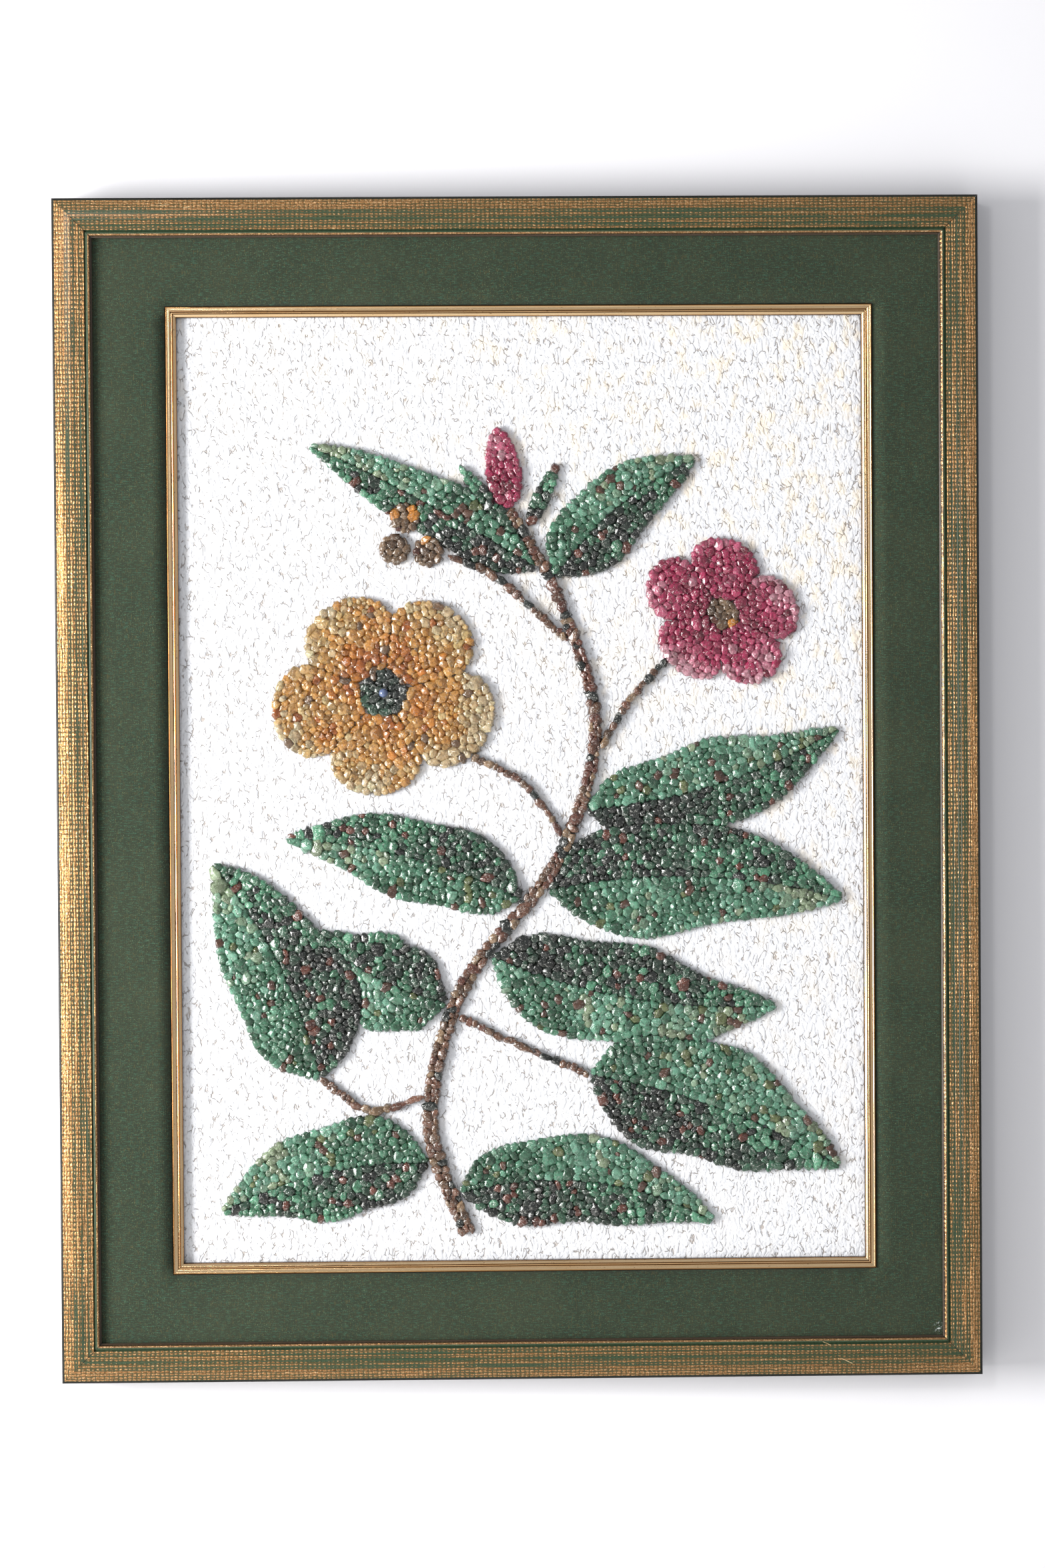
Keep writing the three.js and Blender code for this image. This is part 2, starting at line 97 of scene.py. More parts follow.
def tone(red, green, blue):  # a colour as seen on screen, 0 to 255, as a linear shader colour
    def linear(level):
        share = level / 255
        return share / 12.92 if share <= 0.04045 else ((share + 0.055) / 1.055) ** 2.4
    return (linear(red), linear(green), linear(blue), 1.0)


def put(tree, kind, given=(), **settings):  # a new node with its inputs fed and its settings made
    node = tree.nodes.new(kind)
    for name, value in settings.items():
        setattr(node, name, value)
    for name, value in dict(given).items():
        feed(tree, node.inputs[name], value)
    return node


def calc(tree, operation, *values):
    return put(tree, "ShaderNodeMath", enumerate(values), operation=operation).outputs[0]


def times(tree, value, factor):
    return calc(tree, "MULTIPLY", value, factor)


def scaled(tree, value, factor, base):  # value times factor, plus base
    return calc(tree, "MULTIPLY_ADD", value, factor, base)


def flip(tree, value):
    return calc(tree, "SUBTRACT", 1.0, value)


def swing(tree, value, width, base=0.0):  # a cloud's value moved from about 0.5 to about base
    return scaled(tree, calc(tree, "SUBTRACT", value, 0.5), width, base)


def mixTones(tree, share, low, high, how="MIX"):
    given = {0: share, 6: low, 7: high}
    return put(tree, "ShaderNodeMix", given, data_type="RGBA", blend_type=how).outputs[2]


def softStep(tree, value, low, high):
    given = {"Value": value, "From Min": low, "From Max": high}
    return put(tree, "ShaderNodeMapRange", given, interpolation_type="SMOOTHSTEP").outputs[0]


def overlay(tree, under, over, value, span):  # a tone laid on where the value rises through the span
    return mixTones(tree, softStep(tree, value, *span), under, over)


def ramp(tree, value, stops):  # stops are (place from 0 to 1, grey level or colour)
    node = put(tree, "ShaderNodeValToRGB", {"Fac": value})
    elements = node.color_ramp.elements
    while len(elements) < len(stops):
        elements.new(0.5)
    for element, (place, level) in zip(elements, stops):
        element.position = place
        element.color = level if isinstance(level, tuple) else (level, level, level, 1.0)
    return node.outputs["Color"]


def stretched(tree, place, stretch):
    return put(tree, "ShaderNodeMapping", {"Vector": place, "Scale": stretch}).outputs[0]


def objectPlace(tree, stretch=(1, 1, 1)):
    return stretched(tree, put(tree, "ShaderNodeTexCoord").outputs["Object"], stretch)


def stripPlace(tree, stretch=(1, 1, 1)):
    return stretched(tree, put(tree, "ShaderNodeUVMap", uv_map="stripPlace").outputs[0], stretch)


def split(tree, vector):
    return put(tree, "ShaderNodeSeparateXYZ", {0: vector}).outputs


def noise(tree, place, scale, detail=2.0, roughness=0.5, distortion=0.0):
    given = {"Vector": place, "Scale": scale, "Detail": detail}
    given |= {"Roughness": roughness, "Distortion": distortion}
    return put(tree, "ShaderNodeTexNoise", given)


def cloud(tree, place, *settings):
    return noise(tree, place, *settings).outputs["Fac"]


def ripple(tree, value, pitch):  # 0 to 1 and back once in each pitch
    turn = times(tree, value, 2 * math.pi / pitch)
    return scaled(tree, calc(tree, "COSINE", turn), 0.5, 0.5)


def setColor(tree, shader, color):
    tree.links.new(color, shader.inputs["Base Color"])


def addRelief(tree, shader, height, strength, distance):  # fine relief by bump
    given = {"Height": height, "Strength": strength, "Distance": distance}
    feed(tree, shader.inputs["Normal"], put(tree, "ShaderNodeBump", given).outputs[0])


def addPiece(name, mesh, slot, *nodes):
    piece = bpy.data.objects.new(name, mesh)
    bpy.context.scene.collection.objects.link(piece)
    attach(piece, "root")
    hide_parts(*nodes)
    return piece


# camera and stage
shot = {
    "place": (-0.0366, -2.092, -0.3005),
    "lens": 80.0,
    "degreesRight": 1.066,
    "degreesDown": 1.105,
    "roll": -0.397,
    "sensor": 36.0,
    "clip": (0.05, 50.0),
}
stage = {
    "wallTone": tone(246, 246, 250),
    "wallGap": 0.5 * mm,
    "wallSize": 7.0,
    "floorDrop": 1.1,
    "floorTone": tone(240, 239, 237),
    "sky": 0.47,
    "keyPlace": (-1.4, -0.85, -0.37),
    "keySize": (0.6, 0.8),
    "keyWatts": 42.0,
    "keyTint": (1.0, 0.985, 0.965),
    "lampPlace": (-0.55, -1.9, 0.25),
    "lampSize": (0.2, 0.2),
    "lampWatts": 4.0,
    "skyTint": (0.96, 0.97, 1.0),
}


def addCamera():
    data = bpy.data.cameras.new("photoCamera")
    data.lens = shot["lens"]
    data.sensor_width = shot["sensor"]
    data.clip_start, data.clip_end = shot["clip"]
    camera = bpy.data.objects.new("photoCamera", data)
    turn = Matrix.Rotation(-math.radians(shot["degreesRight"]), 4, "Z")
    tilt = Matrix.Rotation(math.radians(90 - shot["degreesDown"]), 4, "X")
    roll = Matrix.Rotation(math.radians(shot["roll"]), 4, "Z")
    camera.matrix_world = Matrix.Translation(shot["place"]) @ turn @ tilt @ roll
    bpy.context.scene.collection.objects.link(camera)
    bpy.context.scene.camera = camera


def addPlane(name, corners, material):
    mesh = bpy.data.meshes.new(name)
    mesh.from_pydata(corners, [], [(0, 1, 2, 3)])
    mesh.materials.append(material)
    plane = bpy.data.objects.new(name, mesh)
    bpy.context.scene.collection.objects.link(plane)
    return plane


def addWall():
    material, tree, shader = newMaterial("paleWall", 0.9, {"Base Color": stage["wallTone"]})
    clear = put(tree, "ShaderNodeBsdfTransparent").outputs[0]
    side = put(tree, "ShaderNodeNewGeometry").outputs["Backfacing"]  # a wall with a front only
    mix = put(tree, "ShaderNodeMixShader", {0: side, 1: shader.outputs[0], 2: clear})
    feed(tree, tree.nodes["Material Output"].inputs["Surface"], mix.outputs[0])
    half = stage["wallSize"] / 2
    y = stage["wallGap"]
    low = -stage["floorDrop"]
    corners = [(-half, y, low), (half, y, low), (half, y, half), (-half, y, half)]
    wall = addPlane("wall", corners, material)
    wall.visible_shadow = False  # so that the back of the panel is lit in views from behind
    wall.visible_diffuse = False


def addFloor():
    material = newMaterial("paleFloor", 0.8, {"Base Color": stage["floorTone"]})[0]
    half = stage["wallSize"] / 2
    low = -stage["floorDrop"]
    corners = [(-half, -half, low), (half, -half, low), (half, half, low), (-half, half, low)]
    addPlane("floor", corners, material)


def addLight(name, place, size, watts):
    data = bpy.data.lights.new(name, "AREA")
    data.shape = "RECTANGLE"
    data.size, data.size_y = size
    data.energy = watts
    data.color = stage["keyTint"]
    light = bpy.data.objects.new(name, data)
    light.location = place
    middle = (Vector(cadBox[0]) + Vector(cadBox[1])) / 2
    light.rotation_euler = (middle - light.location).to_track_quat("-Z", "Y").to_euler()
    bpy.context.scene.collection.objects.link(light)


def addLights():
    addLight("windowLight", stage["keyPlace"], stage["keySize"], stage["keyWatts"])
    addLight("glintLamp", stage["lampPlace"], stage["lampSize"], stage["lampWatts"])
    world = bpy.data.worlds.new("softSky")
    world.use_nodes = True
    sky = world.node_tree.nodes["Background"]
    sky.inputs["Color"].default_value = (*stage["skyTint"], 1.0)
    sky.inputs["Strength"].default_value = stage["sky"]
    bpy.context.scene.world = world
    bpy.context.scene.view_settings.view_transform = "Standard"


addCamera()
addWall()
addFloor()
addLights()
print("camera, wall, floor and lights set")


# mitred strips: the four rails and the four fillets
sharpFrom = 34  # degrees between two faces past which their edge shades sharp


def stripMesh(name, section, finishOf, length, place, turn, gap, shift):
    # section holds (inward, depth) round the strip; place is the middle of its outer edge as (x, z)
    spin = Matrix.Rotation(-turn, 3, "Y")
    mesh = bmesh.new()
    uv = mesh.loops.layers.uv.new("stripPlace")
    rings = []
    for side in (-1, 1):
        ring = []
        for inward, depth in section:
            span = length - 2 * inward - gap * math.sqrt(2)
            spot = spin @ Vector((side * span / 2, -depth, -inward))
            ring.append(mesh.verts.new(spot + Vector((place[0], 0, place[1]))))
        rings.append(ring)
    first, last = rings
    count = len(section)

    def lay(face, spots, slot, smooth):
        face.material_index = slot
        face.smooth = smooth
        for loop, spot in zip(face.loops, spots):
            loop[uv].uv = (spot[0] + shift, spot[1])

    for k in range(count):
        after = (k + 1) % count
        spots = []
        for side, index in ((-1, k), (-1, after), (1, after), (1, k)):
            inward = section[index][0]
            spots.append((side * (length / 2 - inward), inward))
        face = mesh.faces.new((first[k], first[after], last[after], last[k]))
        lay(face, spots, finishOf(section[k], section[after]), True)
    for corners in (first[::-1], last):
        lay(mesh.faces.new(corners), [(0, 0)] * count, 1, False)
    bmesh.ops.recalc_face_normals(mesh, faces=mesh.faces)
    made = bpy.data.meshes.new(name)
    mesh.to_mesh(made)
    mesh.free()
    made.set_sharp_from_angle(angle=math.radians(sharpFrom))
    return made


def bow(fromX, toX, fromY, toY, rise, steps):  # a low arch between two points of a section
    points = []
    for k in range(steps + 1):
        t = k / steps
        arch = rise * 4 * t * (1 - t)
        points.append((fromX + (toX - fromX) * t, fromY + (toY - fromY) * t + arch))
    return points


def roundOf(cx, cy, radius, start, end, steps):
    angles = [math.radians(start + (end - start) * k / steps) for k in range(steps + 1)]
    return [(cx + radius * math.cos(a), cy + radius * math.sin(a)) for a in angles]


def sideTurns(width, height, cx, cz):
    return {
        "top": (width, (cx, cz + height / 2), 0.0),
        "left": (height, (cx - width / 2, cz), math.pi / 2),
        "bottom": (width, (cx, cz - height / 2), math.pi),
        "right": (height, (cx + width / 2, cz), -math.pi / 2),
    }


rail = {
    "width": 23.3 * mm,
    "depth": 29.0 * mm,
    "backWidth": 14.0 * mm,
    "gap": 0.05 * mm,
    "arris": 1.0 * mm,
    "crown": 0.7 * mm,
    "beadMiddle": (20.8 * mm, 26.4 * mm),
    "beadRadius": 1.5 * mm,
    "grooveWidth": 0.35 * mm,
    "groove": (19.05 * mm, 27.0 * mm),
    "frontStep": 1.2 * mm,
    "lipTop": 25.5 * mm,
    "lipUnder": 23.8 * mm,
    "scoredLines": (6.7 * mm, 11.5 * mm, 13.3 * mm, 15.9 * mm),
    "scoreDepth": 0.18 * mm,
    "scoreWidth": 0.5 * mm,
    "threadAlong": 2.74 * mm,
    "threadAcross": 1.7 * mm,
    # gold left on each rail: partly the real rubbing, partly painted light and shade, the left rail
    # lighter and the other three darker as the light falls from the left
    "goldLeftAndSideLight": {"top": -0.18, "left": -0.09, "bottom": -0.19, "right": -0.16},
    "seam": (0.08 * mm, 0.3 * mm),  # the dark line at each mitre, from full to gone
    "seamFrom": (8 * mm, 13 * mm),
    "seamTone": tone(30, 24, 16),
    "edgeDark": (0.9 * mm, 1.9 * mm),
    "edgeTone": tone(22, 20, 16),
    # painted shade on the inner side of the bead, towards the sight edge
    "lipShadeSpan": (21.9 * mm, 22.5 * mm),
    "lipShadeTone": tone(56, 42, 26),
    "beadGold": (20.9 * mm, 21.3 * mm),
    "beadEnd": (22.2 * mm, 22.5 * mm),
    "barePaint": (tone(32, 48, 32), tone(66, 88, 62)),
    "rubbedPaint": (tone(54, 50, 28), tone(104, 88, 50)),
    "gold": ((0.3, tone(122, 84, 48)), (0.52, tone(184, 136, 86)), (0.7, tone(240, 204, 158))),
    "scratches": {  # along and across in mm at one end, then at the other
        "bottom": (
            (-178.2, 20.6, -183.4, 18.2), (-188.6, 11.0, -196.2, 7.4), (-153.8, 10.6, -156.8, 10.4),
        ),
        "top": ((-212.0, 5.2, -204.0, 4.1), (-196.0, 6.3, -191.5, 5.2)),
    },
    "scratchWidth": 0.22 * mm,
    "scratchTone": tone(226, 196, 150),
    "sideTones": (tone(26, 23, 20), tone(52, 44, 36)),
    "woodTones": (tone(150, 112, 74), tone(196, 160, 116)),
    "woodFleck": tone(120, 84, 52),
    "wobble": 1.5 * mm,
    "bands": (  # how much gold is left, as (mm from the outer edge, share)
        (0.0, 0.05), (1.2, 0.15), (1.8, 0.74), (7.4, 0.7), (7.9, 0.46), (9.5, 0.5),
        (10.0, 0.66), (11.4, 0.64), (11.9, 0.42), (13.6, 0.46), (14.1, 0.64), (15.4, 0.62),
        (15.9, 0.42), (17.2, 0.46), (17.6, 0.66), (18.8, 0.6), (19.2, 0.3), (20.4, 0.12),
        (21.1, 0.15), (21.5, 0.95), (22.4, 0.9), (22.8, 0.2), (23.3, 0.05),
    ),
}


def railSection():
    start = rail["arris"]
    points = [(0, 0)]
    points += roundOf(start, rail["depth"] - rail["crown"] - start, start, 180, 100, 5)
    end = rail["beadMiddle"][0] - rail["beadRadius"] - rail["grooveWidth"]
    stops = [start]
    for line in rail["scoredLines"]:
        stops += [line - rail["scoreWidth"] / 2, line, line + rail["scoreWidth"] / 2]
    stops.append(end)
    fine = []
    for a, b in zip(stops, stops[1:]):
        parts = max(1, round((b - a) / rail["frontStep"]))
        fine += [a + (b - a) * k / parts for k in range(parts)]
    fine.append(end)
    for x in fine:
        across = 2 * (x - start) / (end - start) - 1
        scored = any(abs(x - line) < 1e-6 for line in rail["scoredLines"])
        score = rail["scoreDepth"] if scored else 0
        points.append((x, rail["depth"] - rail["crown"] * across**2 - score))
    points.append(rail["groove"])
    cx, cy = rail["beadMiddle"]
    points += roundOf(cx, cy, rail["beadRadius"], 150, 0, 12)
    points += [(rail["width"], rail["lipTop"]), (rail["width"], rail["lipUnder"])]
    points += [(rail["backWidth"], rail["lipUnder"]), (rail["backWidth"], 0)]
    return points


def railFinishOf(a, b):  # 0 the painted front, 1 the dark outer side, 2 bare wood behind
    if max(a[0], b[0]) < 1e-6:
        return 1
    behindLip = max(a[1], b[1]) <= rail["lipUnder"] + 1e-6
    return 2 if behindLip else 0


def scratchMask(tree, along, across, rows):  # 1 along short straight lines
    mask = 0.0
    for x0, y0, x1, y1 in rows:
        x0, y0, x1, y1 = (value * mm for value in (x0, y0, x1, y1))
        length = math.hypot(x1 - x0, y1 - y0)
        wayX, wayY = (x1 - x0) / length, (y1 - y0) / length
        relX = calc(tree, "SUBTRACT", along, (x0 + x1) / 2)
        relY = calc(tree, "SUBTRACT", across, (y0 + y1) / 2)
        onward = scaled(tree, relX, wayX, times(tree, relY, wayY))
        aside = calc(tree, "SUBTRACT", times(tree, relY, wayX), times(tree, relX, wayY))
        width = rail["scratchWidth"]
        beside = softStep(tree, calc(tree, "ABSOLUTE", aside), width * 0.4, width)
        past = softStep(tree, calc(tree, "ABSOLUTE", onward), length * 0.4, length * 0.5)
        line = times(tree, flip(tree, beside), flip(tree, past))
        mask = calc(tree, "MAXIMUM", mask, line)
    return mask


def paintedFront(side, length, shift):
    sheen = {"Specular IOR Level": 0.22, "Coat Roughness": 0.2}
    material, tree, shader = newMaterial("greenPaintRubbedWithGold_" + side, 0.45, sheen)
    place = stripPlace(tree)
    wobble = cloud(tree, place, 190, 2)
    along, across = split(tree, place)[:2]
    shake = swing(tree, wobble, rail["wobble"])
    threadsAlong = ripple(tree, calc(tree, "ADD", along, shake), rail["threadAlong"])
    threadsAcross = ripple(tree, calc(tree, "ADD", across, shake), rail["threadAcross"])
    weave = calc(tree, "SQRT", times(tree, threadsAlong, threadsAcross))
    streaks = cloud(tree, stripPlace(tree, (70, 1500, 1)), 1.0, 3, 0.6)
    patches = cloud(tree, stripPlace(tree, (11, 150, 1)), 1.0, 3, 0.6, 0.4)
    grain = cloud(tree, place, 1000, 2, 0.7)
    stops = [(inward * mm / rail["width"], level) for inward, level in rail["bands"]]
    cover = ramp(tree, calc(tree, "DIVIDE", across, rail["width"]), stops)
    # painted light and shade for each rail, added to the real rubbed gold
    cover = calc(tree, "ADD", cover, rail["goldLeftAndSideLight"][side])
    cover = swing(tree, patches, 0.8, cover)
    cover = swing(tree, streaks, 0.6, cover)
    raised = scaled(tree, weave, 0.42, times(tree, threadsAcross, 0.14))
    raised = scaled(tree, cloud(tree, place, 520, 3, 0.7), 0.52, raised)
    level = calc(tree, "SUBTRACT", calc(tree, "ADD", raised, cover), 1.0)
    bead = softStep(tree, across, *rail["beadGold"])
    beadEnd = softStep(tree, across, *rail["beadEnd"])
    solid = times(tree, bead, flip(tree, beadEnd))
    solid = times(tree, solid, softStep(tree, calc(tree, "ADD", patches, streaks), 0.7, 0.9))
    solid = times(tree, solid, 0.85)
    gilded = calc(tree, "MAXIMUM", softStep(tree, level, -0.1, 0.12), solid)
    bare = mixTones(tree, grain, *rail["barePaint"])
    rubbed = mixTones(tree, grain, *rail["rubbedPaint"])
    paint = overlay(tree, bare, rubbed, cover, (0.12, 0.6))
    color = mixTones(tree, gilded, paint, ramp(tree, grain, rail["gold"]))
    color = overlay(tree, rail["edgeTone"], color, across, rail["edgeDark"])
    # painted shade: dark brown on the inner side of the bead, towards the sight edge
    color = overlay(tree, color, rail["lipShadeTone"], across, rail["lipShadeSpan"])
    fromMiddle = calc(tree, "ABSOLUTE", calc(tree, "SUBTRACT", along, shift))
    fromSeam = calc(tree, "SUBTRACT", calc(tree, "SUBTRACT", length / 2, across), fromMiddle)
    seam = flip(tree, softStep(tree, fromSeam, *rail["seam"]))
    seam = times(tree, seam, softStep(tree, across, *rail["seamFrom"]))
    color = mixTones(tree, seam, color, rail["seamTone"])
    if side in rail["scratches"]:
        alongRail = calc(tree, "SUBTRACT", along, shift)
        line = scratchMask(tree, alongRail, across, rail["scratches"][side])
        color = mixTones(tree, line, color, rail["scratchTone"])
    setColor(tree, shader, color)
    feed(tree, shader.inputs["Metallic"], times(tree, gilded, 0.88))
    roughness = scaled(tree, gilded, -0.2, 0.5)
    feed(tree, shader.inputs["Roughness"], scaled(tree, bead, -0.14, roughness))
    feed(tree, shader.inputs["Coat Weight"], scaled(tree, bead, 0.45, 0.25))
    height = scaled(tree, streaks, 1.2, times(tree, raised, 0.5))
    addRelief(tree, shader, scaled(tree, gilded, 0.25, height), 1.0, 0.42 * mm)
    return material


def darkSide():
    material, tree, shader = newMaterial("blackenedSide", 0.6, {"Specular IOR Level": 0.2})
    place = objectPlace(tree)
    worn = cloud(tree, place, 60, 4, 0.65)
    setColor(tree, shader, mixTones(tree, worn, *rail["sideTones"]))
    addRelief(tree, shader, cloud(tree, place, 500, 3), 0.25, 0.2 * mm)
    return material


def bareWood():
    material, tree, shader = newMaterial("bareWoodBack", 0.75)
    grain = cloud(tree, objectPlace(tree, (60, 300, 60)), 1.0, 4, 0.6, 0.6)
    fleck = cloud(tree, objectPlace(tree), 700, 2)
    wood = mixTones(tree, grain, *rail["woodTones"])
    setColor(tree, shader, overlay(tree, wood, rail["woodFleck"], fleck, (0.6, 0.75)))
    addRelief(tree, shader, grain, 0.3, 0.3 * mm)
    return material


def addRails():
    low, high = Vector(cadBox[0]), Vector(cadBox[1])
    middle = (low + high) / 2
    size = high - low
    section = railSection()
    finishes = [darkSide(), bareWood()]
    turns = sideTurns(size.x, size.z, middle.x, middle.z)
    for number, (side, (length, place, turn)) in enumerate(turns.items()):
        node = "frame_rail_" + side
        shift = 2.3 * number
        name = node + "_gilded"
        mesh = stripMesh(name, section, railFinishOf, length, place, turn, rail["gap"], shift)
        for finish in [paintedFront(side, length, shift), *finishes]:
            mesh.materials.append(finish)
        addPiece(name, mesh, "gilded_wood", node)


addRails()
print("rails made")

fillet = {
    "width": 6.4 * mm,
    "flange": 7.0 * mm,
    "flangeBack": 18.5 * mm,
    "flangeFront": 20.0 * mm,
    "top": 24.4 * mm,
    "gap": 0.05 * mm,
    "outerDrop": 0.95 * mm,
    "innerDrop": 2.6 * mm,
    "beadRadius": 0.65 * mm,
    "ribs": (  # from, to, how deep each end and how high the arch, in mm, and the steps of it
        (1.5, 2.95, 0.28, 0.5, 0.1, 4),
        (3.42, 4.1, 0.75, 0.85, 0.16, 4),
        (4.55, 5.95, 0.75, 1.6, 0.12, 5),
    ),
    "grooves": ((3.2, 0.95), (4.32, 1.35), (6.25, 2.0)),  # place and depth after each rib, in mm
    "fleck": tone(104, 68, 32),
    # the gold from dark to pale: the dark end is painted shade, the pale end a painted highlight
    "shadeToHighlight": (
        (0.0, tone(44, 28, 14)), (0.35, tone(140, 96, 54)),
        (0.65, tone(210, 164, 108)), (1.0, tone(242, 214, 172)),
    ),
    "bands": (  # how bright the leaf is, as (mm from the outer edge, share): painted shade in the grooves and at both edges, painted highlight on the rib tops
        (0.0, 0.0), (0.35, 0.15), (0.75, 0.7), (1.3, 0.9), (2.5, 0.85), (3.0, 0.7),
        (3.12, 0.2), (3.35, 0.2), (3.5, 0.75), (4.1, 0.75), (4.25, 0.25), (4.45, 0.3),
        (4.65, 0.85), (5.8, 0.95), (6.2, 0.3), (6.4, 0.0),
    ),
}


def filletSection():
    top, radius = fillet["top"], fillet["beadRadius"]
    flange, front, back = fillet["flange"], fillet["flangeFront"], fillet["flangeBack"]
    points = [(-flange, back), (-flange, front), (0, front), (0, top - fillet["outerDrop"])]
    points += roundOf(radius, top - radius, radius, 160, 40, 7)
    for rib, (at, deep) in zip(fillet["ribs"], fillet["grooves"]):
        start, end, startDrop, endDrop, rise = (value * mm for value in rib[:5])
        points += bow(start, end, top - startDrop, top - endDrop, rise, rib[5])
        points.append((at * mm, top - deep * mm))
    points.append((fillet["width"], top - fillet["innerDrop"]))
    points.append((fillet["width"], back))
    return points


def goldLeaf():
    material, tree, shader = newMaterial("goldLeafStrip", 0.3, {"Metallic": 0.95})
    across = split(tree, stripPlace(tree))[1]
    streaks = cloud(tree, stripPlace(tree, (30, 2600, 1)), 1.0, 3, 0.6)
    fleck = cloud(tree, stripPlace(tree, (500, 900, 1)), 1.0, 3, 0.6)
    stops = [(inward * mm / fillet["width"], level) for inward, level in fillet["bands"]]
    cover = ramp(tree, calc(tree, "DIVIDE", across, fillet["width"]), stops)
    cover = swing(tree, streaks, 0.6, cover)
    # painted highlight on the rib tops and painted shade in the grooves and at both edges, over the
    # leaf's own streaks
    color = ramp(tree, cover, fillet["shadeToHighlight"])
    setColor(tree, shader, overlay(tree, color, fillet["fleck"], fleck, (0.62, 0.75)))
    feed(tree, shader.inputs["Roughness"], scaled(tree, fleck, 0.2, 0.1))
    addRelief(tree, shader, streaks, 0.35, 0.12 * mm)
    return material


def addFillets():
    flange, width = fillet["flange"], fillet["width"]
    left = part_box("fillet_left")[0].x + flange
    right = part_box("fillet_right")[1].x - flange
    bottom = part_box("fillet_bottom")[0].z + flange
    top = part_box("fillet_top")[1].z - flange
    low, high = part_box("fillet_top")
    section = filletSection()
    gilt = goldLeaf()
    turns = sideTurns(right - left, top - bottom, (low.x + high.x) / 2, (top + bottom) / 2)
    for number, (side, (length, place, turn)) in enumerate(turns.items()):
        node = "fillet_" + side
        shift = 1.7 * number
        name = node + "_gold"
        mesh = stripMesh(name, section, lambda a, b: 0, length, place, turn, fillet["gap"], shift)
        mesh.materials.append(gilt)
        mesh.materials.append(gilt)  # the mitred ends
        addPiece(name, mesh, "gold_fillet", node)
    return left + width, right - width, bottom + width, top - width


window = addFillets()  # left, right, bottom and top of what the fillets leave open
print("fillets made")


# boards
def chance(i, j, seed):
    wave = np.sin(i * 127.1 + j * 311.7 + seed * 74.7) * 43758.5453
    return wave - np.floor(wave)


def softNoise(x, z, cell, seed):  # smooth random heights from 0 to 1
    i, j = np.floor(x / cell), np.floor(z / cell)
    u, v = x / cell - i, z / cell - j
    u, v = u * u * (3 - 2 * u), v * v * (3 - 2 * v)
    low = chance(i, j, seed) * (1 - u) + chance(i + 1, j, seed) * u
    high = chance(i, j + 1, seed) * (1 - u) + chance(i + 1, j + 1, seed) * u
    return low * (1 - v) + high * v


def slab(name, xs, zs, frontDepth, backDepth, hole=None):
    # a board with its front modelled point by point; frontDepth(x, z) is how far out each stands
    columns, rows = len(xs), len(zs)
    gridX, gridZ = np.meshgrid(xs, zs)
    front = np.stack([gridX, -frontDepth(gridX, gridZ), gridZ], -1).reshape(-1, 3)
    back = front.copy()
    back[:, 1] = -backDepth
    total = columns * rows
    kept = np.ones((rows - 1, columns - 1), bool)
    if hole:
        middleX = (xs[1:] + xs[:-1]) / 2
        middleZ = (zs[1:] + zs[:-1]) / 2
        inX = (middleX > hole[0]) & (middleX < hole[1])
        inZ = (middleZ > hole[2]) & (middleZ < hole[3])
        kept = ~(inZ[:, None] & inX[None, :])
    faces = []
    finish = []
    edges = {}  # each side of each front face, in order
    for row, column in zip(*np.nonzero(kept)):
        a = row * columns + column
        quad = (a, a + 1, a + columns + 1, a + columns)
        faces.append(quad)
        finish.append(0)
        for p, q in zip(quad, quad[1:] + quad[:1]):
            edges[(p, q)] = True
    behind = list(faces)
    sides = {p: q for p, q in edges if (q, p) not in edges}
    faces += [(q, p, p + total, q + total) for p, q in sides.items()]
    if hole is None:  # the back is then one face, round the board's outline
        ring = [0]
        while sides[ring[-1]] != 0:
            ring.append(sides[ring[-1]])
        behind = [ring]
    faces += [tuple(total + k for k in reversed(face)) for face in behind]
    finish += [1] * (len(faces) - len(finish))
    mesh = bpy.data.meshes.new(name)
    points = np.concatenate([front, back]).tolist()
    mesh.from_pydata(points, [], [tuple(int(k) for k in face) for face in faces])
    mesh.polygons.foreach_set("material_index", finish)
    mesh.polygons.foreach_set("use_smooth", [kind == 0 for kind in finish])
    work = bmesh.new()
    work.from_mesh(mesh)
    loose = [v for v in work.verts if not v.link_faces]
    bmesh.ops.delete(work, geom=loose, context="VERTS")
    work.to_mesh(mesh)
    work.free()
    return mesh


linen = {
    "thread": 0.62 * mm,
    "ease": 0.12 * mm,  # how much the covered board gives here and there
    "cell": 9.0 * mm,
    "lintPlace": (0.2485, -0.0235, -0.6665),
    "lintReach": (0.8 * mm, 4.2 * mm),
    "deep": tone(20, 30, 18),
    "leafy": tone(46, 61, 35),
    "teal": tone(42, 74, 56),
    "olive": tone(68, 64, 32),
    "speck": tone(26, 31, 23),
    "faded": tone(76, 80, 56),
    "glint": tone(92, 112, 80),
    "lint": tone(200, 208, 206),
    "card": (tone(150, 142, 126), tone(186, 180, 164)),
    "wobble": 0.9 * mm,
    "seed": 11,
}


